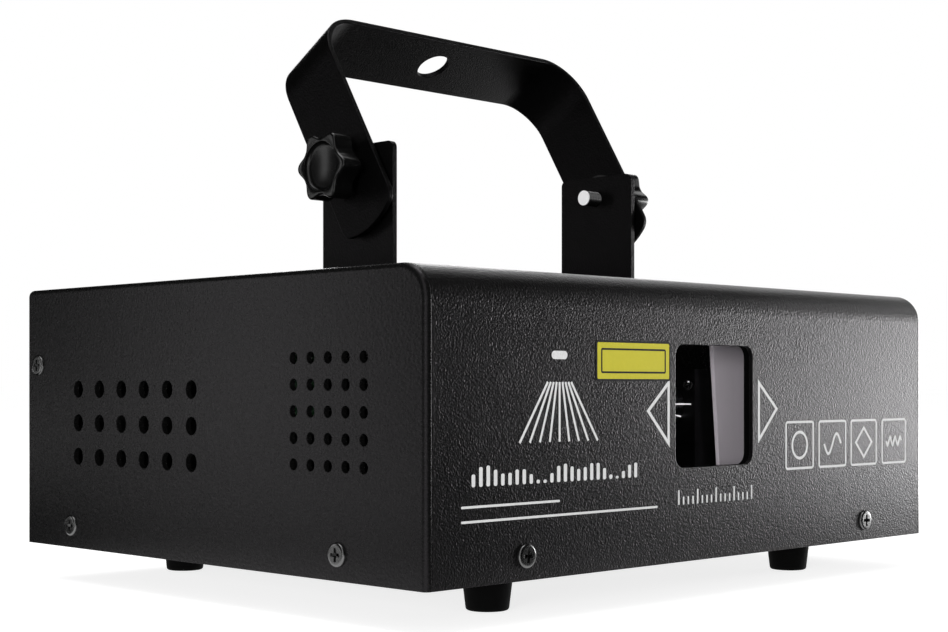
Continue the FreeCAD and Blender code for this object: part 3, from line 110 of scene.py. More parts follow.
class Finish:
    """A new material with its shader, its object coordinates and its common textures."""

    def __init__(self, name, **constants):
        self.material = bpy.data.materials.new(name)
        self.material.use_nodes = True
        tree = self.material.node_tree
        self.shader = tree.nodes["Principled BSDF"]
        for label, value in constants.items():
            self.shader.inputs[label.replace("_", " ")].default_value = value
        self.place = Shade(tree, tree.nodes.new("ShaderNodeTexCoord").outputs["Object"])

    def set(self, label, value):
        self.place.tree.links.new(value.socket, self.shader.inputs[label])

    def noise(self, step, detail=3.0, place=None):
        """Soft noise with lumps about step millimetres apart, from 0 to 1."""
        return self.place.node("ShaderNodeTexNoise", {}, {
            "Vector": place or self.place, "Scale": PER_MM / step, "Detail": detail})

    def cells(self, step, place=None):
        """Distance from the middle of cells about step millimetres apart, with soft walls."""
        return self.place.node("ShaderNodeTexVoronoi", {"feature": "SMOOTH_F1"}, {
            "Vector": place or self.place, "Scale": PER_MM / step, "Smoothness": CELL_SOFTNESS})

    def stretched(self, x, y, z):
        """The object coordinates squeezed by these factors, for brushed patterns."""
        return self.place.node("ShaderNodeMapping", {}, {"Vector": self.place, "Scale": (x, y, z)})

    def between(self, amount, dark, light):
        """A colour mixed from dark to light by an amount from 0 to 1."""
        return self.place.node("ShaderNodeMix", {"data_type": "RGBA"}, {
            "Factor": amount, 6: (*dark, 1.0), 7: (*light, 1.0)}, output=2)

    def spread(self, amount, low, high):
        """An amount from 0 to 1 moved into the range from low to high."""
        return amount * (high - low) + low

    def bump(self, height, depth, edge=0.0):
        """Raises the surface by height times depth, in millimetres, and rounds sharp edges."""
        inputs = {"Height": height, "Strength": 1.0, "Distance": depth / PER_MM}
        if edge:
            inputs["Normal"] = self.place.node(
                "ShaderNodeBevel", {"samples": EDGE_SAMPLES}, {"Radius": edge / PER_MM})
        self.set("Normal", self.place.node("ShaderNodeBump", {}, inputs))


finishes = {}


def keep(slot, finish):
    finishes[slot] = finish.material
    return finish


def grey(value):
    """A colour without any tint."""
    return (value, value, value)


print("finish helpers ready")

# %% [markdown]
# ## Powder coats
# The cover is coated with a leather grain, the side panels with a finer coat, and yoke and
# saddle with a satin one. The leather is hills and hollows of one size, so it is one soft
# noise, bent by a slower one. The other coats are melted powder: soft cells that run into
# each other, with a finer noise on top. The black is nearly all gloss: the paint itself
# is very dark, and what the eye sees is the light that the grain scatters.

# %% Powder coats
COAT_TINT = (1.0, 0.93, 1.0, 1.0)
COAT_EDGE = 0.25                    # how far the coat rounds the sheet's edges
COAT_CLOUDS = 60.0                  # distance between lighter and darker paint
COAT_STRAY = 0.03                   # how far the roughness strays
DRIFT, SPECK, PATCH = 2.5, 0.35, 1.5    # sizes of bend, specks and gloss patches, in cells
MELT_SHARE, SPECK_SHARE = 0.8, 0.35     # what cells and specks add to the height
LEATHER_DETAIL = 0.6


def powder_coat(slot, cell, depth, dark, light, rough, gloss, leather=False):
    """A coat with a grain of this cell size and depth, both in millimetres."""
    coat = keep(slot, Finish(slot, IOR=1.5, Specular_IOR_Level=gloss, Specular_Tint=COAT_TINT))
    drift = coat.noise(cell * DRIFT, detail=2.0)
    bent = coat.place.node("ShaderNodeVectorMath", {"operation": "MULTIPLY_ADD"}, {
        0: drift, 1: grey(cell / PER_MM), 2: coat.place})
    if leather:
        height = coat.noise(cell, LEATHER_DETAIL, bent)
    else:
        melted = coat.cells(cell, bent) * MELT_SHARE
        height = melted + coat.noise(cell * SPECK, detail=2.0) * SPECK_SHARE
    coat.bump(height, depth, COAT_EDGE)
    coat.set("Base Color", coat.between(coat.noise(COAT_CLOUDS, detail=2.0), dark, light))
    patches = coat.noise(cell * PATCH)
    coat.set("Roughness", coat.spread(patches, rough - COAT_STRAY, rough + COAT_STRAY))


powder_coat("grain_coat", cell=0.56, depth=0.135, dark=grey(0.0016), light=grey(0.0022),
            rough=0.31, gloss=0.225, leather=True)
powder_coat("fine_coat", cell=0.90, depth=0.042, dark=grey(0.0030), light=grey(0.0038),
            rough=0.27, gloss=0.20)
powder_coat("bracket_coat", cell=0.70, depth=0.100, dark=grey(0.0009), light=grey(0.0014),
            rough=0.38, gloss=0.09)
powder_coat("saddle_coat", cell=0.70, depth=0.100, dark=grey(0.0014), light=grey(0.0020),
            rough=0.36, gloss=0.105)
powder_coat("grey_coat", cell=0.50, depth=0.008, dark=(0.72, 0.69, 0.72), light=(0.76, 0.73, 0.76),
            rough=0.60, gloss=0.20)
print("powder coats:", list(finishes))

# %% [markdown]
# ## Plastics, rubber and fibre
# Moulded pieces have a skin with faint flow marks and dust, so both colour and
# roughness wander a little. One recipe with different numbers serves them all.

# %% Moulded finishes
FLOW_MARKS, DUST = 9.0, 5.0
DULLEST, GLOSSIEST = 0.07, -0.05    # how far the roughness strays either way


def moulded(slot, dark, light, rough, depth, gloss=0.5, step=0.8):
    """A skin with lumps of this step and depth, both in millimetres."""
    skin = keep(slot, Finish(slot, IOR=1.48, Specular_IOR_Level=gloss))
    skin.set("Base Color", skin.between(skin.noise(FLOW_MARKS), dark, light))
    skin.set("Roughness", skin.spread(skin.noise(DUST), rough + GLOSSIEST, rough + DULLEST))
    skin.bump(skin.noise(step), depth)


moulded("black_rubber", grey(0.0012), grey(0.0020), rough=0.70, depth=0.020, gloss=0.06)
moulded("knob_plastic", grey(0.0015), grey(0.0025), rough=0.24, depth=0.006, gloss=0.45)
moulded("fibre", grey(0.012), grey(0.020), rough=0.60, depth=0.020, gloss=0.3)
moulded("black_plastic", grey(0.003), grey(0.005), rough=0.42, depth=0.015, gloss=0.25)
moulded("frame_black", grey(0.0008), grey(0.0012), rough=0.55, depth=0.010, gloss=0.05)
moulded("rocker_plastic", grey(0.006), grey(0.009), rough=0.20, depth=0.004)
moulded("button_plastic", grey(0.045), grey(0.060), rough=0.48, depth=0.010)
print("moulded finishes ready,", len(finishes), "so far")

# %% [markdown]
# ## Metals
# Plated, ground and brushed metal differ in how far their scratches run. Noise
# that is squeezed along one axis gives lines; plain noise gives the cloud of a
# plated skin. Zinc sheet adds the large crystals that galvanising leaves.

# %% Metal finishes
TARNISH, SCRATCHES, SCRATCH_DETAIL = 6.0, 0.4, 4.0
SMOOTHEST, ROUGHEST = -0.07, 0.09   # how far the roughness strays either way
CRYSTALS, WIPE_MARKS, ZINC_LUMPS = 7.0, 3.0, 1.5
SHALLOW = 0.004


def metal(slot, dark, light, rough, squeeze=(1, 1, 1), depth=SHALLOW, bare=1.0):
    """A metal whose scratches run along the axes that squeeze leaves at 1."""
    skin = keep(slot, Finish(slot, Metallic=bare))
    lines = skin.noise(SCRATCHES, SCRATCH_DETAIL, skin.stretched(*squeeze))
    skin.set("Base Color", skin.between(skin.noise(TARNISH), dark, light))
    skin.set("Roughness", skin.spread(lines, rough + SMOOTHEST, rough + ROUGHEST))
    skin.bump(lines, depth)


def zinc_sheet():
    sheet = keep("sheet_zinc", Finish("sheet_zinc", Metallic=1.0))
    crystals = sheet.cells(CRYSTALS)
    sheet.set("Base Color", sheet.between(crystals, (0.34, 0.35, 0.37), (0.58, 0.59, 0.61)))
    sheet.set("Roughness", sheet.spread(sheet.noise(WIPE_MARKS), 0.32, 0.52))
    sheet.bump(sheet.noise(ZINC_LUMPS), SHALLOW)


metal("plated_steel", (0.78, 0.78, 0.79), grey(0.86), rough=0.30, bare=0.25)
metal("black_screw", grey(0.14), grey(0.18), rough=0.23)
metal("anodised", (0.020, 0.020, 0.022), (0.030, 0.030, 0.032), rough=0.40, squeeze=(1, 12, 1))
metal("bare_aluminium", (0.60, 0.60, 0.62), (0.70, 0.70, 0.72), rough=0.32, squeeze=(1, 14, 1))
metal("mirror_coat", (0.85, 0.86, 0.88), (0.90, 0.91, 0.93), rough=0.09, depth=0.0002)
metal("steel_shaft", (0.50, 0.50, 0.51), (0.58, 0.58, 0.59), rough=0.28, squeeze=(12, 1, 1))
metal("black_washer", grey(0.030), grey(0.050), rough=0.24)
metal("black_thread", grey(0.08), grey(0.11), rough=0.20)
metal("contact_brass", (0.70, 0.58, 0.32), (0.78, 0.66, 0.40), rough=0.26)
zinc_sheet()
print("metal finishes ready,", len(finishes), "so far")

# %% [markdown]
# ## Glass, display and boards
# The beam window is clear glass; the display pane is smoked plastic that is black
# until it lights. Circuit boards are a woven laminate under green lacquer, with
# tracks that a brick pattern suggests well enough behind a window.

# %% Glass, display and boards
HEAD_ON = 0.04                      # share of light that glass mirrors when seen straight on
TRACK_STEP, TRACK_WIDTH, TRACK_HEIGHT = 4.0, 0.12, 0.03


def clear_glass():
    """A pane that lets light straight through and mirrors more of it the flatter it is seen."""
    pane = keep("clear_glass", Finish("clear_glass", Metallic=1.0))
    pane.shader.inputs["Base Color"].default_value = (1.0, 1.0, 1.0, 1.0)
    pane.set("Roughness", pane.spread(pane.noise(12.0), 0.0, 0.02))
    facing = pane.place.node("ShaderNodeLayerWeight", {}, {"Blend": 0.5}, output="Facing")
    mirrored = facing.math("POWER", facing, 5.0) * (1.0 - HEAD_ON) + HEAD_ON
    through = pane.place.node("ShaderNodeBsdfTransparent", {}, {"Color": (0.97, 0.96, 0.97, 1.0)})
    glass = pane.place.node("ShaderNodeMixShader", {}, {
        0: mirrored, 1: through, 2: Shade(pane.place.tree, pane.shader.outputs[0])})
    surface = pane.place.tree.nodes["Material Output"].inputs["Surface"]
    pane.place.tree.links.new(glass.socket, surface)


def smoked_window():
    pane = keep("smoked_window", Finish("smoked_window", IOR=1.49, Coat_Weight=0.6))
    smoke = pane.noise(14.0)
    pane.set("Base Color", pane.between(smoke, (0.006, 0.004, 0.004), (0.012, 0.005, 0.005)))
    pane.set("Roughness", pane.spread(pane.noise(4.0), 0.06, 0.13))


def circuit_board():
    board = keep("board_green", Finish("board_green", IOR=1.5))
    tracks = board.place.node("ShaderNodeTexBrick", {}, {
        "Vector": board.place, "Scale": PER_MM / TRACK_STEP, "Mortar Size": TRACK_WIDTH,
        "Color1": (*grey(0.0), 1.0), "Color2": (*grey(0.25), 1.0), "Mortar": (*grey(1.0), 1.0),
        }, output="Fac")
    board.set("Base Color", board.between(tracks, (0.010, 0.060, 0.022), (0.030, 0.120, 0.045)))
    board.set("Roughness", board.spread(board.noise(1.2), 0.30, 0.48))
    board.bump(tracks, TRACK_HEIGHT)


clear_glass()
smoked_window()
circuit_board()
print(len(finishes), "finishes")

# %% [markdown]
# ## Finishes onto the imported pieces
# The record names a material slot for every node, so one loop dresses them all. A few
# pieces look a little different from the rest of their slot and have a finish of their own.
# The nodes' meshes stay as they are; only the material in their slots changes.

# %% Dress the nodes
own_finish = {"left_knob_washer": "black_washer", "right_knob_washer": "black_washer",
              "window_frame": "frame_black", "saddle_bracket": "saddle_coat"}
for piece in frame["record"]["subparts"]:
    dressed = nodes[piece["node"]]
    if not dressed.material_slots:
        dressed.data.materials.append(None)
    for slot in dressed.material_slots:
        slot.material = finishes[own_finish.get(piece["node"], piece["material_slot"])]

# %% [markdown]
# ## From arrays of points to pieces
# Small turned and moulded pieces look best as smooth meshes of their own. Each is
# worked out as a grid of points with numpy; these helpers join the grid's neighbours
# with faces, close the ends, and hand the result to the body that carries it.
# Primitives and modifiers could give similar shapes, but a formula keeps every size visible.

# %% Skins from grids
FACING = {
    "front": np.array([[1, 0, 0], [0, 0, 1], [0, -1, 0]]),
    "back": np.array([[-1, 0, 0], [0, 0, 1], [0, 1, 0]]),
    "left": np.array([[0, -1, 0], [0, 0, 1], [-1, 0, 0]]),
    "right": np.array([[0, 1, 0], [0, 0, 1], [1, 0, 0]]),
    "up": np.array([[1, 0, 0], [0, 1, 0], [0, 0, 1]]),
}


def placed(skin, facing, place):
    """The skin turned so that its own third axis points this way, then moved to place."""
    points, faces = skin
    return points @ FACING[facing] + np.array(place), faces


def ring_quads(rows, columns, wrap_rows=False):
    """Quads between neighbours of a grid whose columns run right round."""
    row = np.arange(rows if wrap_rows else rows - 1)[:, None] * columns
    above = (row + columns) % (rows * columns)
    column = np.arange(columns)[None, :]
    beside = (column + 1) % columns
    corners = [row + column, row + beside, above + beside, above + column]
    return np.stack(corners, axis=-1).reshape(-1, 4).tolist()


def capped(rings):
    """Rings of points joined by quads, each end closed by a fan to the middle of its ring."""
    rows, columns = rings.shape[:2]
    points = np.concatenate([rings.reshape(-1, 3), rings[[0, -1]].mean(axis=1)])
    around = np.arange(columns)
    following = (around + 1) % columns
    last = (rows - 1) * columns
    middles = rows * columns + np.zeros(columns, dtype=int)
    first_fan = np.stack([following, around, middles], axis=-1).tolist()
    last_fan = np.stack([last + around, last + following, middles + 1], axis=-1).tolist()
    return points, ring_quads(rows, columns) + first_fan + last_fan


def ring_angles(columns):
    """The angles of the points of one ring, as a row."""
    return np.linspace(0, 2 * np.pi, columns, endpoint=False)[None, :]


def turned(radius, level, angle):
    """A closed skin about the third axis: radius times cosine and sine of the angle, at a level."""
    grid = np.broadcast_arrays(radius * np.cos(angle), radius * np.sin(angle), level)
    return capped(np.stack(grid, axis=-1))


print("ways to face:", list(FACING))

# %% Pieces from skins
import bmesh

SAME_POINT = 1e-7                   # metres
CREASE = math.radians(35.0)         # a sharper edge than this stays sharp


def add_piece(name, skins, finish, body, replaced=()):
    """Joins skins, in millimetres, into one mesh piece that rides on the body."""
    starts = np.cumsum([0] + [len(points) for points, faces in skins])
    points = np.concatenate([points for points, faces in skins]) / PER_MM
    faces = [[int(start) + corner for corner in face]
             for start, (_, skin_faces) in zip(starts, skins) for face in skin_faces]
    mesh = bpy.data.meshes.new(name)
    mesh.from_pydata(points.tolist(), [], faces)
    shell = bmesh.new()
    shell.from_mesh(mesh)
    bmesh.ops.remove_doubles(shell, verts=shell.verts, dist=SAME_POINT)
    bmesh.ops.recalc_face_normals(shell, faces=shell.faces)
    shell.to_mesh(mesh)
    shell.free()
    mesh.shade_smooth()
    mesh.set_sharp_from_angle(angle=CREASE)
    piece = bpy.data.objects.new(name, mesh)
    bpy.context.scene.collection.objects.link(piece)
    mesh.materials.append(finishes[finish])
    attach(piece, body)
    if replaced:
        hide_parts(*replaced)
    print(name, len(mesh.polygons), "faces on", body)


# %% [markdown]
# ## Screws
# Low flat heads with a cross recess, turned and stamped on the real object. A polar grid would
# cut the recess raggedly, so a square grid is squeezed onto the disc instead: its lines run along
# the arms of the cross. Below the head comes a shank with a real thread.

# %% Screw heads
HEAD_STEPS = 25
RECESS_WALL = 0.25
RECESS_RISE = 0.55                  # share of its depth that the recess loses along an arm
RIM_POWER, RIM_ROOT = 14, 0.45      # a high power keeps the head flat up to its rim


def flat_head(diameter, height, recess, span, depth):
    """A head on a square grid u, v squeezed onto a disc: x = u root(1 - v v / 2), and so for y.
    Its height falls as a root of 1 less a high power of the distance from the middle, less a
    dip where u or v lies within the cross."""
    radius = diameter / 2
    arm, reach, wall = recess / diameter, span / diameter, RECESS_WALL / diameter
    edges = np.array([arm, arm + wall, reach, reach + wall])
    waves = np.sin(np.linspace(-np.pi / 2, np.pi / 2, HEAD_STEPS))
    steps = np.unique(np.concatenate([waves, edges, -edges]))
    u, v = np.meshgrid(steps, steps)
    rho = np.clip(u * u + v * v - u * u * v * v, 0.0, 1.0) ** 0.5

    def groove(side, length):
        """1 in the middle of the cross, 0 outside an arm, with sloping walls and floor."""
        beside = np.clip((arm + wall - side) / wall, 0, 1)
        before = np.clip((reach + wall - length) / wall, 0, 1)
        return beside * before * (1.0 - RECESS_RISE * length / reach)

    dip = depth * np.maximum(groove(np.abs(u), np.abs(v)), groove(np.abs(v), np.abs(u)))
    crown = height * (1.0 - rho ** RIM_POWER) ** RIM_ROOT - dip
    x, y = radius * u * (1 - v * v / 2) ** 0.5, radius * v * (1 - u * u / 2) ** 0.5
    count = len(steps)
    top = np.stack([x, y, crown], axis=-1).reshape(-1, 3)
    seat = np.stack([x, y, np.zeros_like(x)], axis=-1).reshape(-1, 3)
    row, column = np.meshgrid(np.arange(count - 1) * count, np.arange(count - 1), indexing="ij")
    corner = (row + column).reshape(-1)
    quads = np.stack([corner, corner + 1, corner + count + 1, corner + count], axis=-1)
    return np.concatenate([top, seat]), quads.tolist() + (quads[:, ::-1] + count * count).tolist()


# %% Threads
ROD_COLUMNS, RINGS_PER_TURN = 32, 10
THREAD_DEPTH, FLANK = 0.54, 2.3     # depth in pitches, and how steep the sides of the V are


def threaded_rod(diameter, low, high, pitch, chamfer):
    """Rings from low to high; the radius dips in a V once per pitch, a turn later all round,
    and tapers by the chamfer at the high end."""
    rings = int((high - low) / pitch * RINGS_PER_TURN) + 1
    level = np.linspace(low, high, rings)[:, None]
    angle = ring_angles(ROD_COLUMNS)
    turn = (level / pitch - angle / (2 * np.pi)) % 1.0
    thread = THREAD_DEPTH * pitch * np.clip(FLANK / 2 - FLANK * np.abs(turn - 0.5), 0.0, 1.0)
    radius = np.minimum(diameter / 2 - thread, diameter / 2 - chamfer + (high - level))
    return turned(radius, level, angle)


SHANK_CHAMFER = 0.5
LARGE = {"head": {"diameter": 7.4, "height": 1.0, "recess": 0.9, "span": 3.9, "depth": 1.1},
         "shank": {"diameter": 4.0, "high": 8.0, "pitch": 0.7}}
SMALL = {"head": {"diameter": 5.6, "height": 0.9, "recess": 0.8, "span": 3.0, "depth": 0.9},
         "shank": {"diameter": 3.0, "high": 6.0, "pitch": 0.5}}


def screws(name, node, facing_places, head, shank):
    """One head and one threaded shank for each place, all in one piece."""
    points, faces = threaded_rod(low=0.0, chamfer=SHANK_CHAMFER, **shank)
    shape = [flat_head(**head), (points * [1, 1, -1], faces)]
    skins = [placed(skin, facing, place) for facing, place in facing_places for skin in shape]
    add_piece(name, skins, "black_screw", "housing", [node])


print("screw sizes: large", LARGE["head"]["diameter"], "mm, small", SMALL["head"]["diameter"], "mm")

# %% Screws in their places
SIDE_FACE, FRONT_FACE, REAR_FACE = 132.0, -106.5, 104.9
FLANGE_FACE, SOCKET_FACE, SADDLE_FOOT = 106.5, 106.9, 106.0
LOW_SCREWS, LOW_Z, HIGH_Z = (-91.7, 91.7), 19.3, 98.0
FAN_X, FAN_Z, FAN_REACH = -89.5, 58.0, 21.0
SOCKETS, SOCKET_Z = (22.5, 59.5), 58.0

panel_y_z = [(-68.7, 19.8), (76.3, 19.8), (98.5, 76.6)]
screws("panel_screws", "side_panel_screws",
       [(side, (x, y, z)) for side, x in (("left", -SIDE_FACE), ("right", SIDE_FACE))
        for y, z in panel_y_z], **LARGE)
screws("cover_screws", "front_cover_screws",
       [("front", (x, FRONT_FACE, LOW_Z)) for x in LOW_SCREWS], **LARGE)
screws("back_screws", "rear_panel_screws",
       [("back", (x, FLANGE_FACE, HIGH_Z)) for x in (-102.0, 0.0, 102.0)]
       + [("back", (x, REAR_FACE, LOW_Z)) for x in LOW_SCREWS], **LARGE)
screws("bracket_screws", "saddle_screws",
       [("up", (x, y, SADDLE_FOOT)) for x in (-45.0, 45.0) for y in (-11.0, 11.0)], **LARGE)
screws("blower_screws", "fan_screws",
       [("back", (FAN_X + x, REAR_FACE, FAN_Z + z)) for x in (-FAN_REACH, FAN_REACH)
        for z in (-FAN_REACH, FAN_REACH)], **SMALL)
screws("connector_screws", "socket_screws",
       [("back", (x + s * 9.2, SOCKET_FACE, SOCKET_Z + s * 11.7)) for x in SOCKETS for s in (-1, 1)],
       **SMALL)

# %% [markdown]
# ## Star knobs and their studs
# Each knob is a moulded star with six lobes, hollows between them and a dished face. The
# outline is one formula of the angle, and the profile blends it into the round hub
# and the round dish, so the whole skin is one grid. The stud's free end shows inside the saddle.

# %% Knob and disc shapes
LOBES, LOBE_POWER, KNOB_COLUMNS = 6, 1.35, 144
HUB_EASE, DISH_EASE, DISH_DROP = 0.5, 0.25, 0.15
BOW_STEPS, BOWL_STEPS, BOWL_MIDDLE = 7, 11, 0.05


def profile(star, size, level):
    """Rows of a knob's profile: the share of the star, what is added to it, and the level."""
    return np.stack(np.broadcast_arrays(star, size, level), axis=-1)


def star_knob(hub, hub_length, tip, valley, length, edge, dish, wall, bowl):
    """Rings along the axis. A ring's radius is mixed from a circle and the star, whose radius
    goes from valley to tip with a pointed cosine of six times the angle. The dish has a wall
    that is a quarter round, and a bottom that sinks with the square of the radius."""
    angle = ring_angles(KNOB_COLUMNS)
    star = valley / 2 + (tip - valley) / 2 * (0.5 + 0.5 * np.cos(LOBES * angle)) ** LOBE_POWER
    bow = np.linspace(0, np.pi / 2, BOW_STEPS)
    inward = np.linspace(1.0, BOWL_MIDDLE, BOWL_STEPS)[1:]
    brim = length - DISH_DROP
    table = np.concatenate([
        profile(0.0, [hub / 2 - HUB_EASE, hub / 2, hub / 2], [-hub_length, HUB_EASE - hub_length, 0.0]),
        profile(1.0, edge * (np.sin(bow) - 1), edge * (1 - np.cos(bow))),
        profile(1.0, edge * (np.cos(bow) - 1), length - edge * (1 - np.sin(bow))),
        profile(0.0, [dish / 2 + DISH_EASE, dish / 2], [length, brim]),
        profile(0.0, dish / 2 - wall * (1 - np.cos(bow[1:])), brim - wall * np.sin(bow[1:])),
        profile(0.0, (dish / 2 - wall) * inward, brim - wall - bowl * (1 - inward ** 2))])
    return turned(table[:, 0:1] * star + table[:, 1:2], table[:, 2:3], angle)


RIM_EASE = 0.1


def disc(radius, low, high, columns=64):
    """A flat round plate: rings of one radius at its low and high level, with eased rims."""
    size = np.array([radius - RIM_EASE, radius, radius, radius - RIM_EASE])[:, None]
    level = np.array([low, low + RIM_EASE, high - RIM_EASE, high])[:, None]
    return turned(size, level, ring_angles(columns))


print("knob with", LOBES, "lobes")

# %% Knobs and studs
PIVOT_Z, KNOB_X = 144.5, 73.05
STUD, STUD_PITCH, STUD_CHAMFER = 6.0, 1.0, 0.25
STUD_FROM, STUD_TO = -76.15, -55.25
END_FROM, END_TO = -55.75, -55.23   # the bare end face stands a hair proud of the thread
INWARD = {"left": "right", "right": "left"}

knob = star_knob(hub=14.0, hub_length=2.9, tip=25.0, valley=19.6, length=8.5, edge=0.9,
                 dish=17.2, wall=1.7, bowl=0.7)
rod = threaded_rod(STUD, STUD_FROM, STUD_TO, STUD_PITCH, STUD_CHAMFER)
end_face = disc(STUD / 2, END_FROM, END_TO, ROD_COLUMNS)
for side, sign in (("left", -1), ("right", 1)):
    body = side + "_knob"
    add_piece(side + "_star", [placed(knob, side, (sign * KNOB_X, 0.0, PIVOT_Z))],
              "knob_plastic", body, [side + "_knob"])
    add_piece(side + "_stud", [placed(rod, INWARD[side], (0.0, 0.0, PIVOT_Z))],
              "black_thread", body, [side + "_knob_stud"])
    add_piece(side + "_stud_end", [placed(end_face, INWARD[side], (0.0, 0.0, PIVOT_Z))],
              "plated_steel", body)

# %% [markdown]
# ## Dust filter
# Air leaves through the fan's slots in the rear panel. A thin foam disc sits between the
# rotor and the slots, which also keeps daylight from showing through the side vents.

# %% Fan filter
FILTER_RADIUS, FILTER_FROM, FILTER_TO = 23.2, 102.65, 103.25
PORES, PORE_DEPTH = 0.9, 0.3

foam = keep("filter_foam", Finish("filter_foam", Specular_IOR_Level=0.1))
pores = foam.cells(PORES)
foam.set("Base Color", foam.between(pores, grey(0.004), grey(0.022)))
foam.set("Roughness", foam.spread(pores, 0.80, 0.95))
foam.bump(pores, PORE_DEPTH)
filter_disc = disc(FILTER_RADIUS, FILTER_FROM, FILTER_TO)
add_piece("dust_filter", [placed(filter_disc, "back", (FAN_X, 0.0, FAN_Z))], "filter_foam", "housing")

# %% [markdown]
# ## Prints on the front
# The real front is screen printed in white, with a yellow plate beside the window. A print is a film
# of ink, so each stroke is a very thin closed band: a small rectangular profile
# carried along the outline. The figures here are plain show patterns and bars.

# %% Inks
INK_CLOUDS, INK_GRAIN, INK_DEPTH = 1.4, 0.9, 0.012
INK_ROUGH = (0.42, 0.58)


def ink(slot, dark, light):
    """A satin film whose colour and gloss stray a little, as the mesh of a screen leaves it."""
    film = keep(slot, Finish(slot, IOR=1.45, Specular_IOR_Level=0.1))
    film.set("Base Color", film.between(film.noise(INK_CLOUDS), dark, light))
    film.set("Roughness", film.spread(film.noise(INK_GRAIN), *INK_ROUGH))
    film.bump(film.noise(INK_GRAIN), INK_DEPTH)


ink("white_ink", grey(0.60), grey(0.68))
ink("yellow_ink", (0.47, 0.43, 0.026), (0.52, 0.47, 0.034))
ink("black_ink", grey(0.008), grey(0.012))
print("inks ready")

# %% Strokes and plates of ink
INK_TOP, INK_SINK = 0.06, 0.02      # above and below the painted face
CORNER_STEPS = 6


def film_rings(outline):
    """Two copies of a flat outline, just below and just above the painted face."""
    level = np.array([-INK_SINK, INK_TOP])[:, None, None]
    flat = np.broadcast_to(outline, (2, *outline.shape))
    return np.concatenate([flat, np.broadcast_to(level, (2, len(outline), 1))], axis=-1)


def outline_stroke(corners, width):
    """A band along a closed outline: every corner is moved in and out along its mitre."""
    corners = np.asarray(corners, dtype=float)
    ahead = np.roll(corners, -1, axis=0) - corners
    ahead /= np.linalg.norm(ahead, axis=1, keepdims=True)
    normal = np.stack([ahead[:, 1], -ahead[:, 0]], axis=-1)
    mitre = normal + np.roll(normal, 1, axis=0)
    mitre *= 2.0 / (mitre * mitre).sum(axis=1, keepdims=True)
    outer, inner = film_rings(corners + mitre * width / 2), film_rings(corners - mitre * width / 2)
    rings = np.stack([outer[0], outer[1], inner[1], inner[0]])
    return rings.reshape(-1, 3), ring_quads(4, len(corners), wrap_rows=True)


def open_stroke(path, width):
    """A band along an open line, closed at both ends: four edges carried along the path."""
    path = np.asarray(path, dtype=float)
    ahead = np.gradient(path, axis=0)
    ahead /= np.linalg.norm(ahead, axis=1, keepdims=True)
    aside = np.stack([-ahead[:, 1], ahead[:, 0]], axis=-1) * width / 2
    low_left, high_left = film_rings(path + aside)
    low_right, high_right = film_rings(path - aside)
    return capped(np.stack([low_left, high_left, high_right, low_right], axis=1))


def rounded_box(x0, z0, x1, z1, radius):
    """The outline of a rectangle whose corners are quarter circles."""
    bow = np.linspace(0, np.pi / 2, CORNER_STEPS)[None, :] + np.arange(4)[:, None] * np.pi / 2
    middle_x = np.array([x1 - radius, x0 + radius, x0 + radius, x1 - radius])[:, None]
    middle_z = np.array([z1 - radius, z1 - radius, z0 + radius, z0 + radius])[:, None]
    corners = [middle_x + radius * np.cos(bow), middle_z + radius * np.sin(bow)]
    return np.stack(corners, axis=-1).reshape(-1, 2)


def filled(outline):
    """A thin plate inside a convex outline."""
    return capped(film_rings(outline))


print("a film of ink stands", INK_TOP, "mm proud")

# %% [markdown]
# ## Arrows, plate, beams and bars
# Two arrows point away from the window, an empty plate has a double border, and a fan of beams stands
# over a row of bars, with two rules and a scale below. An image could carry them, but it would blur
# close up, while strokes stay sharp. Heights are counted from the foot of the housing.

# %% Window arrows and yellow plate
HOUSING_FOOT = 12.0
ARROW_FOOT, ARROW_TIP, ARROW_LINE = 24.8, 35.2, 1.1
ARROW_LOW, ARROW_HIGH, ARROW_MIDDLE = 38.7, 58.2, 49.2
PLATE_MARGIN, BORDER_LIFT = 2.4, 0.04


def front_print(name, skins, finish, lift=0.0):
    place = (0.0, FRONT_FACE - lift, HOUSING_FOOT)
    add_piece(name, [placed(skin, "front", place) for skin in skins], finish, "housing")


arrow = np.array([(ARROW_FOOT, ARROW_LOW), (ARROW_FOOT, ARROW_HIGH), (ARROW_TIP, ARROW_MIDDLE)])
arrows = [outline_stroke(arrow * [side, 1], ARROW_LINE) for side in (-1, 1)]
front_print("window_arrows", arrows, "white_ink")
plate_box = np.array([-60.2, 59.0, -24.2, 71.0])
inner_box = plate_box + PLATE_MARGIN * np.array([1, 1, -1, -1])
front_print("yellow_plate", [filled(rounded_box(*plate_box, radius=0.6))], "yellow_ink")
front_print("plate_border", [outline_stroke(rounded_box(*plate_box, radius=0.8), 0.7),
                             outline_stroke(rounded_box(*inner_box, radius=0.4), 0.6)],
            "black_ink", BORDER_LIFT)

# %% Beams, bars and rules
BEAM_FOOT, BEAM_LINE = 40.5, 0.8
BAR_FOOT, BAR_HALF, BAR_RADIUS = 28.4, 0.7, 0.5
RULE_LEFT, RULE_HEIGHT, RULE_RADIUS = -118.5, 0.7, 0.3
TICK_FOOT, TICK_LONG, TICK_SHORT, TICK_HALF, TICK_RADIUS = 18.6, 23.4, 21.2, 0.35, 0.2

apex = np.array([-77.1, 66.0])
reach = np.linspace(0.3, 1.0, 12)[:, None]
beams = [open_stroke(apex + reach * (np.array([end, BEAM_FOOT]) - apex), BEAM_LINE)
         for end in np.linspace(-94.5, -59.7, 9)]
beam_source = filled(rounded_box(-80.6, 65.2, -73.6, 67.7, radius=1.2))
front_print("beam_figure", beams + [beam_source], "white_ink")

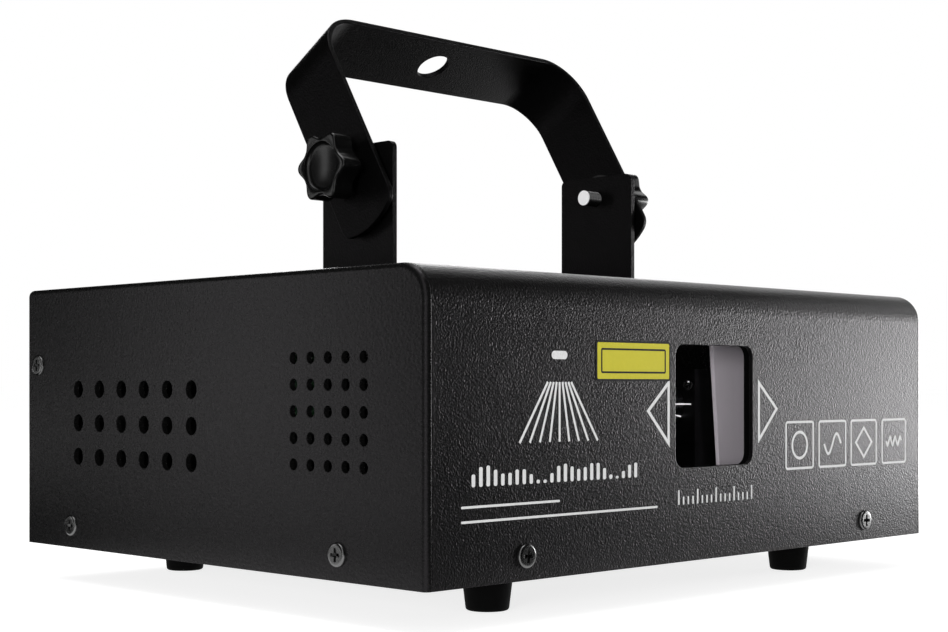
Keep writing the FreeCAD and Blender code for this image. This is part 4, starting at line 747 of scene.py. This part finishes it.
bar_middles = np.linspace(-113.6, -41.4, 25)
beat = np.arange(len(bar_middles))
bar_tops = BAR_FOOT + (3.6 + 2.9 * np.sin(beat * 0.83) * np.cos(beat * 0.31))
front_print("level_bars", [filled(rounded_box(x - BAR_HALF, BAR_FOOT, x + BAR_HALF, top, BAR_RADIUS))
                           for x, top in zip(bar_middles, bar_tops)], "white_ink")
front_print("rule_lines", [filled(rounded_box(RULE_LEFT, z, right, z + RULE_HEIGHT, RULE_RADIUS))
                           for z, right in ((22.4, -77.0), (18.2, -30.5))], "white_ink")
ticks = [(x, TICK_LONG if i % 4 == 0 else TICK_SHORT) for i, x in enumerate(np.linspace(-19.5, 20.5, 17))]
front_print("scale_ticks", [filled(rounded_box(x - TICK_HALF, TICK_FOOT, x + TICK_HALF, top, TICK_RADIUS))
                            for x, top in ticks], "white_ink")

# %% [markdown]
# ## Four framed figures
# A row of small frames at the right shows patterns that such a projector draws: a ring, a wave, a
# diamond and a zigzag. Each is one stroke along a line that a short formula gives.

# %% Pattern figures
FIGURE_LOW, FIGURE_HIGH, FIGURE_REACH = 28.1, 44.4, 5.4
FRAME_LINE, FRAME_RADIUS, FIGURE_LINE = 0.8, 0.9, 1.0
RING_RADIUS, WAVE_HEIGHT, ZIGZAG_HEIGHT, ZIGZAG_PITCH = 4.6, 3.6, 7.2, 3.6
WAVE_STEPS, ZIGZAG_STEPS = 40, 49   # the zigzag's steps meet its corners


def ring_path(x, z, radius, count=40):
    """Points round a circle: x + r cos a, z + r sin a."""
    angle = np.linspace(0, 2 * np.pi, count, endpoint=False)
    return np.stack([x + radius * np.cos(angle), z + radius * np.sin(angle)], axis=-1)


figure_frames = [(41.0, 57.8), (61.6, 78.9), (82.6, 99.7), (103.9, 120.5)]
ring_x, wave_x, diamond_x, zigzag_x = [(left + right) / 2 for left, right in figure_frames]
row_z = (FIGURE_LOW + FIGURE_HIGH) / 2
u = np.linspace(-FIGURE_REACH, FIGURE_REACH, WAVE_STEPS)
wave = np.stack([wave_x + u, row_z + WAVE_HEIGHT * np.sin(u / FIGURE_REACH * np.pi)], axis=-1)
u = np.linspace(-FIGURE_REACH, FIGURE_REACH, ZIGZAG_STEPS)
saw = ZIGZAG_HEIGHT * np.abs((u / ZIGZAG_PITCH + 0.75) % 1.0 - 0.5)
zigzag = np.stack([zigzag_x + u, row_z + saw - ZIGZAG_HEIGHT / 4], axis=-1)
diamond = np.array([diamond_x, row_z]) + FIGURE_REACH * np.array([(1, 0), (0, 1), (-1, 0), (0, -1)])
figures = [outline_stroke(rounded_box(left, FIGURE_LOW, right, FIGURE_HIGH, FRAME_RADIUS), FRAME_LINE)
           for left, right in figure_frames]
figures += [outline_stroke(ring_path(ring_x, row_z, RING_RADIUS), FIGURE_LINE),
            open_stroke(wave, FIGURE_LINE),
            outline_stroke(diamond, FIGURE_LINE),
            open_stroke(zigzag, FIGURE_LINE)]
front_print("pattern_figures", figures, "white_ink")

# %% [markdown]
# ## Words and marks on the rear
# The sockets, the menu buttons and the switch carry the plain words and signs that such a
# panel has. Words come from Blender's own letters: a text curve with the thickness of a film is
# turned into a mesh, and its points are then placed like those of any other print.

# %% Rear words
SOCKET_WORDS_SIZE, SOCKET_WORDS_Z = 4.2, 77.6
BUTTON_WORDS_SIZE, BUTTON_WORDS_Z = 2.5, 57.3


def lettering(words, size):
    """The mesh of a text curve about its own middle, as thick as a film of ink."""
    curve = bpy.data.curves.new("lettering", "FONT")
    curve.body, curve.size, curve.extrude = words, size, INK_TOP
    curve.align_x, curve.align_y = "CENTER", "CENTER"
    typed = bpy.data.objects.new("lettering", curve)
    mesh = bpy.data.meshes.new_from_object(typed)
    points = np.empty(len(mesh.vertices) * 3)
    mesh.vertices.foreach_get("co", points)
    faces = [list(face.vertices) for face in mesh.polygons]
    bpy.data.objects.remove(typed)
    bpy.data.curves.remove(curve)
    bpy.data.meshes.remove(mesh)
    return points.reshape(-1, 3), faces


socket_words = zip(("IN", "OUT"), SOCKETS)
button_words = zip(("ENTER", "UP", "DOWN", "MENU"), (-42.5, -32.5, -22.5, -12.5))
rear_words = [placed(lettering(word, SOCKET_WORDS_SIZE), "back", (x, REAR_FACE, SOCKET_WORDS_Z))
              for word, x in socket_words]
rear_words += [placed(lettering(word, BUTTON_WORDS_SIZE), "back", (x, REAR_FACE, BUTTON_WORDS_Z))
               for word, x in button_words]
add_piece("rear_words", rear_words, "white_ink", "housing")

# %% [markdown]
# The switch shows a line where it is pressed for on and a ring for off. Its face is a shallow
# V: the pressed half stands upright and the other half leans out, so the ring is turned with it.

# %% Switch marks
LEAN = math.radians(18.3)
FACING["leaning"] = np.array([[-1, 0, 0], [0, -math.sin(LEAN), math.cos(LEAN)],
                              [0, math.cos(LEAN), math.sin(LEAN)]])
ON_PLACE, OFF_PLACE = (99.0, 105.88, 78.2), (99.0, 107.32, 69.35)
on_line = filled(rounded_box(-0.25, -1.7, 0.25, 1.7, radius=0.2))
off_ring = outline_stroke(ring_path(0.0, 0.0, radius=1.6), width=0.5)
add_piece("switch_marks", [placed(on_line, "back", ON_PLACE), placed(off_ring, "leaning", OFF_PLACE)],
          "white_ink", "rocker")

# %% [markdown]
# An unlit digit still shows its seven bars, a little redder than the smoked pane. They are films
# on the pane like the other prints, so the same thin plates make them.

# %% Display digits
DIGIT_HEIGHT, DIGIT_WIDTH, DIGIT_BAR, DIGIT_GAP = 10.4, 5.4, 1.2, 0.1
BAR_ROUND = 0.4                     # the ends' radius, as a share of the bar
DISPLAY = (-27.5, REAR_FACE, 73.0)


def digit_bars(x):
    """The seven bars of one digit: a middle and two ends across, and two pairs upright."""
    tall, wide, thick = DIGIT_HEIGHT / 2, DIGIT_WIDTH / 2, DIGIT_BAR / 2
    gap, radius = thick + DIGIT_GAP, DIGIT_BAR * BAR_ROUND
    across = [rounded_box(x - wide + gap, z - thick, x + wide - gap, z + thick, radius)
              for z in (-tall, 0.0, tall)]
    upright = [rounded_box(x + side - thick, low + gap, x + side + thick, low + tall - gap, radius)
               for side in (-wide, wide) for low in (-tall, 0.0)]
    return [filled(outline) for outline in across + upright]


ink("unlit_segment", (0.030, 0.004, 0.004), (0.045, 0.006, 0.006))
digits = [bar for x in (-12.6, -4.2, 4.2, 12.6) for bar in digit_bars(x)]
add_piece("display_digits", [placed(bar, "back", DISPLAY) for bar in digits], "unlit_segment", "housing")

# %% [markdown]
# ## Painted glints behind the window
# Through the glass, glints show on the scanner motor and on the block that holds it; here they
# are painted on as strokes: a line along both, a short one below it, and a dot above a screw.
# It is dim in there, so these painted highlights glow by themselves: Emission Color makes it so.

# %% Painted motor glints
MOTOR_FRONT, MOTOR_CURVE, BLOCK_SIDE, DOT_LIFT = -80.0, 1.0, 17.0, 0.85
GLINT_LINE, GLINT_STEPS = 0.45, 8

# painted highlights: strokes that glow by themselves, standing in for glints of light on the motor and
# block
glow = keep("painted_glints", Finish("painted_glints", Emission_Strength=0.9))
glow.set("Emission Color", glow.between(glow.noise(INK_CLOUDS), grey(0.85), grey(1.0)))
glow.set("Roughness", glow.spread(glow.noise(INK_GRAIN), *INK_ROUGH))
marks = [("front", (0.0, MOTOR_FRONT, 0.0), (11.6, 62.8), (16.9, 62.8)),
         ("front", (0.0, MOTOR_FRONT + MOTOR_CURVE, 0.0), (11.6, 59.3), (16.9, 58.4)),
         ("left", (BLOCK_SIDE, 0.0, 0.0), (79.6, 62.8), (83.4, 62.8)),
         ("left", (BLOCK_SIDE - DOT_LIFT, 0.0, 0.0), (82.6, 70.6), (83.3, 70.6))]
add_piece("painted_motor_glints", [placed(open_stroke(np.linspace(start, end, GLINT_STEPS), GLINT_LINE), facing, place)
                          for facing, place, start, end in marks], "painted_glints", "housing")
block_head = flat_head(diameter=4.2, height=0.9, recess=0.7, span=2.4, depth=0.7)
add_piece("block_screw", [placed(block_head, "left", (BLOCK_SIDE, -82.4, 69.6))], "black_screw", "housing")

# %% [markdown]
# ## The camera
# The photograph was taken from just above the housing's middle height. A long
# lens at that height, shifted up, keeps the upright edges upright.

# %% Camera
camera_data = bpy.data.cameras.new("photo_camera")
camera_data.lens = 63.19
camera_data.sensor_width = 36.0
camera_data.shift_y = 0.0730
camera = bpy.data.objects.new("photo_camera", camera_data)
camera.location = (-0.44773, -0.44089, 0.0694)
camera.rotation_euler = (math.radians(90), 0, math.radians(-45))
bpy.context.scene.collection.objects.link(camera)
bpy.context.scene.camera = camera
bpy.context.scene.view_settings.view_transform = "Standard"
print("camera at", tuple(round(v, 3) for v in camera.location))

# %% [markdown]
# ## White world and pale floor
# The photograph is a cut-out on white. The world is white where it is seen or mirrored, and
# weaker where it lights surfaces. The floor stays pale and keeps the contact shadow: what the
# camera sees of it is part glow, part lit surface, so that it meets the world without a seam.

# %% World
WHITE = (1, 1, 1, 1)
WORLD_FILL = 0.45


def seen_directly(tree):
    """1 for rays from the camera, a reflection or a refraction, 0 for the light on surfaces."""
    rays = tree.nodes.new("ShaderNodeLightPath")
    views = [Shade(tree, rays.outputs[label])
             for label in ("Is Camera Ray", "Is Glossy Ray", "Is Transmission Ray")]
    first = views[0].math("MAXIMUM", views[0], views[1])
    return first.math("MAXIMUM", first, views[2])


world = bpy.data.worlds.new("white_studio")
world.use_nodes = True
bpy.context.scene.world = world
world_tree = world.node_tree
seen = seen_directly(world_tree)
fill = seen.node("ShaderNodeBackground", {}, {"Color": WHITE, "Strength": WORLD_FILL})
white = seen.node("ShaderNodeBackground", {}, {"Color": WHITE, "Strength": 1.0})
studio = seen.node("ShaderNodeMixShader", {}, {0: seen, 1: fill, 2: white})
world_tree.links.new(studio.socket, world_tree.nodes["World Output"].inputs["Surface"])
print("white world, fill", WORLD_FILL)

# %% Floor
FLOOR_SIZE, FLOOR_Z = 40.0, -0.0002
FLOOR_GLOW, FLOOR_LIT, FLOOR_MATT = 0.80, 0.44, 0.8


def floor_finish():
    material = bpy.data.materials.new("studio_floor")
    material.use_nodes = True
    tree = material.node_tree
    tree.nodes.remove(tree.nodes["Principled BSDF"])
    seen = seen_directly(tree)
    matt = seen.node("ShaderNodeBsdfDiffuse", {}, {"Color": (*grey(FLOOR_MATT), 1)})
    faint = seen.node("ShaderNodeBsdfDiffuse", {}, {"Color": (*grey(FLOOR_LIT), 1)})
    shine = seen.node("ShaderNodeEmission", {}, {"Color": WHITE, "Strength": FLOOR_GLOW})
    shown = seen.node("ShaderNodeAddShader", {}, {0: faint, 1: shine})
    mixed = seen.node("ShaderNodeMixShader", {}, {0: seen, 1: matt, 2: shown})
    tree.links.new(mixed.socket, tree.nodes["Material Output"].inputs["Surface"])
    return material


def flat_sheet(name, size, height):
    """A level square: corners at plus and minus half its size."""
    u, v = np.meshgrid([-0.5, 0.5], [-0.5, 0.5])
    corners = np.stack([u * size, v * size, np.full(u.shape, height)], axis=-1).reshape(-1, 3)
    mesh = bpy.data.meshes.new(name)
    mesh.from_pydata(corners.tolist(), [], [(0, 1, 3, 2)])
    sheet = bpy.data.objects.new(name, mesh)
    bpy.context.scene.collection.objects.link(sheet)
    return sheet


floor = flat_sheet("studio_floor", FLOOR_SIZE, FLOOR_Z)
floor.data.materials.append(floor_finish())
print("pale floor,", FLOOR_SIZE, "m wide")

# %% [markdown]
# ## Soft light
# One long card at the right gives the front its sheen, which grows towards the right edge; a wing
# above it and a card on the floor stretch it over the bend and the foot of the front. A
# card behind draws the bright line along the bend. A narrow one behind the left, with a weak one
# on the floor, draws the sheen on the side panel. The back card lights the rear, and the fill
# card lights what is behind the window. These two stay out of reflections, and the camera
# sees none of the cards.

# %% Lamps
MIDDLE, WINDOW, LEFT_SIDE = (0.0, 0.0), (0.0, -0.10), (-0.132, 0.0)
AIM_HEIGHT, CARD_HEIGHT = 0.07, 0.003


def soft_card(name, power, size, place, target=(*MIDDLE, AIM_HEIGHT), mirrored=True):
    """A rectangular lamp at place that faces target, and that reflections show if mirrored."""
    lamp = bpy.data.lights.new(name, "AREA")
    lamp.shape = "RECTANGLE"
    lamp.size, lamp.size_y = size
    lamp.energy = power
    card = bpy.data.objects.new(name, lamp)
    card.location = place
    aim = (np.array(target) - np.array(place)).tolist()
    card.rotation_euler = Vector(aim).to_track_quat("-Z", "Y").to_matrix().to_euler()
    card.visible_camera = False
    card.visible_glossy = mirrored
    bpy.context.scene.collection.objects.link(card)


def toward(azimuth, distance, height, centre=WINDOW):
    """The point at this compass angle and distance from a centre, in metres."""
    angle = math.radians(azimuth)
    return (centre[0] + distance * math.cos(angle), centre[1] + distance * math.sin(angle), height)


soft_card("key_card", power=8.0, size=(0.80, 0.30), place=toward(-8.0, 1.3, 0.13))
soft_card("key_wing", power=0.8, size=(0.70, 0.42), place=toward(-4.0, 1.3, 0.50))
soft_card("rim_card", power=6.0, size=(0.7, 0.6), place=toward(47.0, 1.5, 0.85, MIDDLE))
soft_card("side_card", power=0.40, size=(0.16, 0.5), place=toward(129.5, 0.9, 0.14, LEFT_SIDE))
side_floor = toward(148.0, 0.32, CARD_HEIGHT, LEFT_SIDE)
soft_card("side_floor_card", power=0.25, size=(0.26, 0.26), place=side_floor, target=(*side_floor[:2], 1.0))
soft_card("back_card", power=6.0, size=(0.7, 0.5), place=(-0.15, 1.05, 0.95), mirrored=False)
soft_card("fill_card", power=22.0, size=(0.35, 0.5), place=toward(-155.0, 1.4, 0.10), mirrored=False)
soft_card("roof_card", power=8.0, size=(0.9, 0.9), place=(0.0, 0.0, 1.8))
key_floor = toward(-8.0, 0.85, CARD_HEIGHT)
soft_card("floor_card", power=17.0, size=(0.8, 0.5), place=key_floor, target=(*key_floor[:2], 1.0))
print(len(bpy.data.lights), "lamps set")

# %% [markdown]
# ## Dark flags
# Black paint shows mostly what stands around it, so a photographer hides part of the
# white room from it with dark flags. These are bands round the object: walls in front
# and behind, cloths on the floor, and a slanted sheet above the long card. Only
# reflections meet them: the camera and the light on other surfaces pass them by.

# %% Dark flags
FLAG_STEPS, CLOTH_CLOUDS = 25, 200.0
WALL, LYING = 1.5, 0.001            # the walls' distance, and the height of a cloth on the floor


def dark_flag(name, start, end, low, high):
    """A band on circles about the object: the angle goes from start to end, and the radius and
    height go from those of the low edge to those of the high edge."""
    angle, rise = np.meshgrid(np.radians(np.linspace(start, end, FLAG_STEPS)), [0.0, 1.0])
    radius = low[0] + (high[0] - low[0]) * rise
    level = low[1] + (high[1] - low[1]) * rise
    points = np.stack([radius * np.cos(angle), radius * np.sin(angle), level], axis=-1)
    column = np.arange(FLAG_STEPS - 1)
    quads = np.stack([column, column + 1, column + 1 + FLAG_STEPS, column + FLAG_STEPS], axis=-1)
    mesh = bpy.data.meshes.new(name)
    mesh.from_pydata(points.reshape(-1, 3).tolist(), [], quads.tolist())
    flag = bpy.data.objects.new(name, mesh)
    bpy.context.scene.collection.objects.link(flag)
    cloth = Finish(name, Specular_IOR_Level=0.0)
    cloth.set("Base Color", cloth.between(cloth.noise(CLOTH_CLOUDS), grey(0.004), grey(0.008)))
    mesh.materials.append(cloth.material)
    flag.visible_camera = flag.visible_diffuse = flag.visible_shadow = False
    print(name, "from", start, "to", end, "degrees")


dark_flag("front_flag", -34.0, -125.0, low=(WALL, 0.0), high=(WALL, 2.4))
dark_flag("front_floor_flag", -43.0, -125.0, low=(0.16, LYING), high=(0.6, LYING))
dark_flag("far_floor_flag", -38.0, -125.0, low=(0.6, LYING), high=(WALL, LYING))
dark_flag("upper_flag", -34.0, 8.0, low=(WALL, 0.78), high=(0.3, 2.6))
dark_flag("back_flag", 66.0, 194.0, low=(WALL, 0.0), high=(WALL, 2.6))
dark_flag("back_floor_flag", 100.0, 194.0, low=(0.21, LYING), high=(0.85, LYING))
